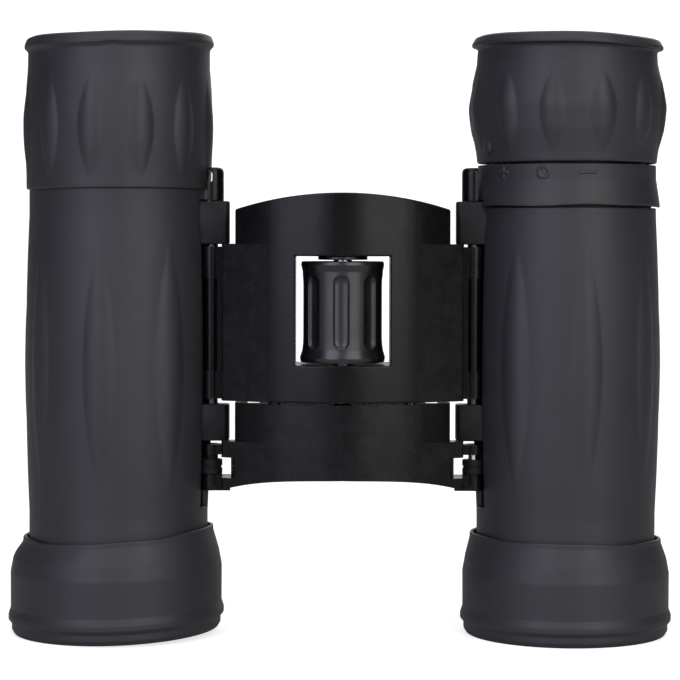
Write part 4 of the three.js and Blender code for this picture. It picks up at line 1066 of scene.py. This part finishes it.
def focus_wheel():
    foot, top = foot_top("focus_wheel_grip")
    core = 5.3
    outline = [(core, foot, 0.1), (6.75, foot, 0.25), (6.88, foot + 0.8, 0.5), (6.5, foot + 2.0, 1.2),
               (6.45, foot + 4), (6.45, top - 4), (6.48, top - 1.6, 0.8), (6.72, top - 0.55, 0.4),
               (6.6, top, 0.2), (core, top, 0.1)]
    middle = (foot + top) / 2

    def relief(angle, radius, height):
        outer = smooth_step(radius, 5.9, 6.2)
        pitch = TURN / 8
        off = (angle - math.radians(-2) + pitch / 2) % pitch - pitch / 2
        past = np.clip(np.abs(height - middle) - 4.6, 0, None)
        span = 1 - (off * radius / 1.3) ** 2 - (past / 1.3) ** 2
        groove = 0.62 * np.sqrt(np.clip(span, 0, None)) * smooth_step(span, 0, 0.12)
        burr = 0.03 * np.sin(5 * angle) * smooth_step(np.abs(height - middle), 6.5, 8)
        return radius - outer * (groove + burr), height

    grip = turned("wheel_grip_rubber", outline, centre=WHEEL, around=384, skin=6.0, fine=0.2, relief=relief)
    settle(grip, "focus_wheel", "wheel_rubber", "focus_wheel_grip", crease=45)
    outer = round_size("focus_wheel_core")[2]
    hub = turned("wheel_hub", [(1.75, foot), (outer, foot, 0.2), (outer, top, 0.2), (outer - 0.9, top, 0.1),
                               (outer - 1.2, top - 0.5, 0.1), (3.0, top - 0.5, 0.1), (2.8, top, 0.1),
                               (1.75, top)], centre=WHEEL, around=96)
    settle(hub, "focus_wheel", "bridge_plastic", "focus_wheel_core")
    foot, top = foot_top("focus_washer")[0], WASHER_TOP
    washer = turned("thrust_washer",
                    [(1.75, foot, 0.08), (4.0, foot, 0.12), (4.0, top, 0.12), (1.75, top, 0.08)],
                    centre=WHEEL, around=96)
    settle(washer, "focus_wheel", "blackened_steel", "focus_washer")


def spindle():
    foot, top = foot_top("focus_spindle")
    pitch = 1.1

    def relief(angle, radius, height):
        outer = smooth_step(radius, 1.2, 1.4)
        threaded = (1 - smooth_step(height, 41, 42.5)) * smooth_step(height, foot + 0.4, foot + 1.2)
        wave = 0.5 + 0.5 * np.cos(TURN * height / pitch - angle)
        return radius - outer * threaded * 0.22 * wave, height

    screw = turned("spindle_thread",
                   [(0, foot), (1.3, foot), (1.5, foot + 0.25), (1.5, top - 0.2), (1.35, top), (0, top)],
                   centre=WHEEL, around=48, closed=False, skin=1.4, fine=0.14, relief=relief)
    settle(screw, "focus_wheel", "spring_steel", "focus_spindle", crease=50)


def hinge_rods():
    for side in SIDES:
        for node, radius, body, slot in (
            ("hinge_rod", 1.0, "bridge", "blackened_steel"),
            ("guide_rod", 1.0, "bridge", "spring_steel"),
            ("focus_pin", 0.8, "focus_bridge", "spring_steel"),
        ):
            foot, top = foot_top(f"{side}_{node}")
            rod = turned(f"{node}_round_{side}",
                         [(0, foot), (radius, foot, 0.25), (radius, top, 0.25), (0, top)],
                         centre=middle_of(f"{side}_{node}"), around=48, closed=False)
            settle(rod, body, slot, f"{side}_{node}")


# ---- assembly ----

for side in SIDES:
    armour(side)
    guard(side)
    housing(side)
    cap(side)
    objective(side)
    eyecup(side, "left_barrel" if side == "left" else "diopter_grip")
    eye_lens(side, "left_barrel" if side == "left" else "right_ocular")
scale_skirt()
eyepiece_tubes()
bridge_frame()
focus_bridge()
back_cover()
cover_screws()
focus_wheel()
spindle()
hinge_rods()

CARRIED = {
    "prism_cage": "matt_inner_black",
    "half_penta_prism": "clear_glass",
    "roof_prism": "clear_glass",
    "prism_clip": "spring_steel",
    "field_stop": "matt_inner_black",
    "objective_flint_lens": "clear_glass",
}


def finish_carried():
    """Gives the CAD nodes that are shown as they are their finish."""
    finishes = {f"{side}_{node}": slot for side in SIDES for node, slot in CARRIED.items()}
    finishes.update({"right_eyepiece_tube": "moulded_casing", "focus_nut": "brass"})
    for node, slot in finishes.items():
        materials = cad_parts[node].data.materials
        materials.clear()
        materials.append(FINISH[slot])


finish_carried()


# ---- studio ----

def sweep():
    """A pale floor that curves up into a backdrop."""
    rows = [(-3.0, 0.0), (0.6, 0.0)]
    rows += [(0.6 + 0.8 * math.sin(a), 0.8 - 0.8 * math.cos(a)) for a in np.linspace(0.1, math.pi / 2, 12)]
    rows += [(1.4, 3.0)]
    verts = [(x, y, z) for y, z in rows for x in (-3.0, 3.0)]
    faces = [(2 * i, 2 * i + 1, 2 * i + 3, 2 * i + 2) for i in range(len(rows) - 1)]
    mesh = bpy.data.meshes.new("studio_sweep")
    mesh.from_pydata(verts, [], faces)
    mesh.polygons.foreach_set("use_smooth", [True] * len(mesh.polygons))
    floor = bpy.data.objects.new("studio_sweep", mesh)
    bpy.context.scene.collection.objects.link(floor)
    material, tree, shader = new_material("pale paper")
    grain = use_group(tree, GRAIN, Grains_per_metre=900.0)
    tone = stretch(tree, grain.outputs["Speckle"], 0.3, 0.7, 0.56, 0.6)
    tree.links.new(tone, shader.inputs["Base Color"])
    shader.inputs["Roughness"].default_value = 0.9
    shader.inputs["Specular IOR Level"].default_value = 0.1
    seen = tree.nodes.new("ShaderNodeLightPath").outputs["Is Camera Ray"]
    shader.inputs["Emission Color"].default_value = (1, 1, 1, 1)
    tree.links.new(math_node(tree, "MULTIPLY", seen, 0.72), shader.inputs["Emission Strength"])
    mesh.materials.append(material)


def softbox(name, place, aim, wide, tall, power, colour):
    data = bpy.data.lights.new(name, "AREA")
    data.shape = "RECTANGLE"
    data.size, data.size_y = wide, tall
    data.energy = power
    data.color = colour
    light = bpy.data.objects.new(name, data)
    bpy.context.scene.collection.objects.link(light)
    direction = (Matrix.Translation(aim).to_translation() - Matrix.Translation(place).to_translation())
    light.rotation_mode = "QUATERNION"
    light.rotation_quaternion = direction.to_track_quat("-Z", "Y")
    light.location = place


def studio():
    sweep()
    aim = (0, 0, 0.05)
    softbox("front left box", (-0.54, -0.90, 0.30), aim, 0.72, 1.3, 10, (0.82, 0.84, 1.0))
    softbox("front right box", (0.54, -0.90, 0.30), aim, 0.72, 1.3, 10, (1.0, 0.97, 0.94))
    softbox("top box", (0, -0.1, 1.2), aim, 1.2, 0.8, 7, (1, 1, 1))
    softbox("back box", (0.2, 1.1, 0.5), aim, 1.0, 0.8, 4, (1, 1, 1))
    world = bpy.data.worlds.new("studio air")
    world.use_nodes = True
    world.node_tree.nodes["Background"].inputs["Color"].default_value = (0.9, 0.92, 1.0, 1)
    world.node_tree.nodes["Background"].inputs["Strength"].default_value = 0.03
    bpy.context.scene.world = world
    bpy.context.scene.view_settings.view_transform = "Standard"


studio()
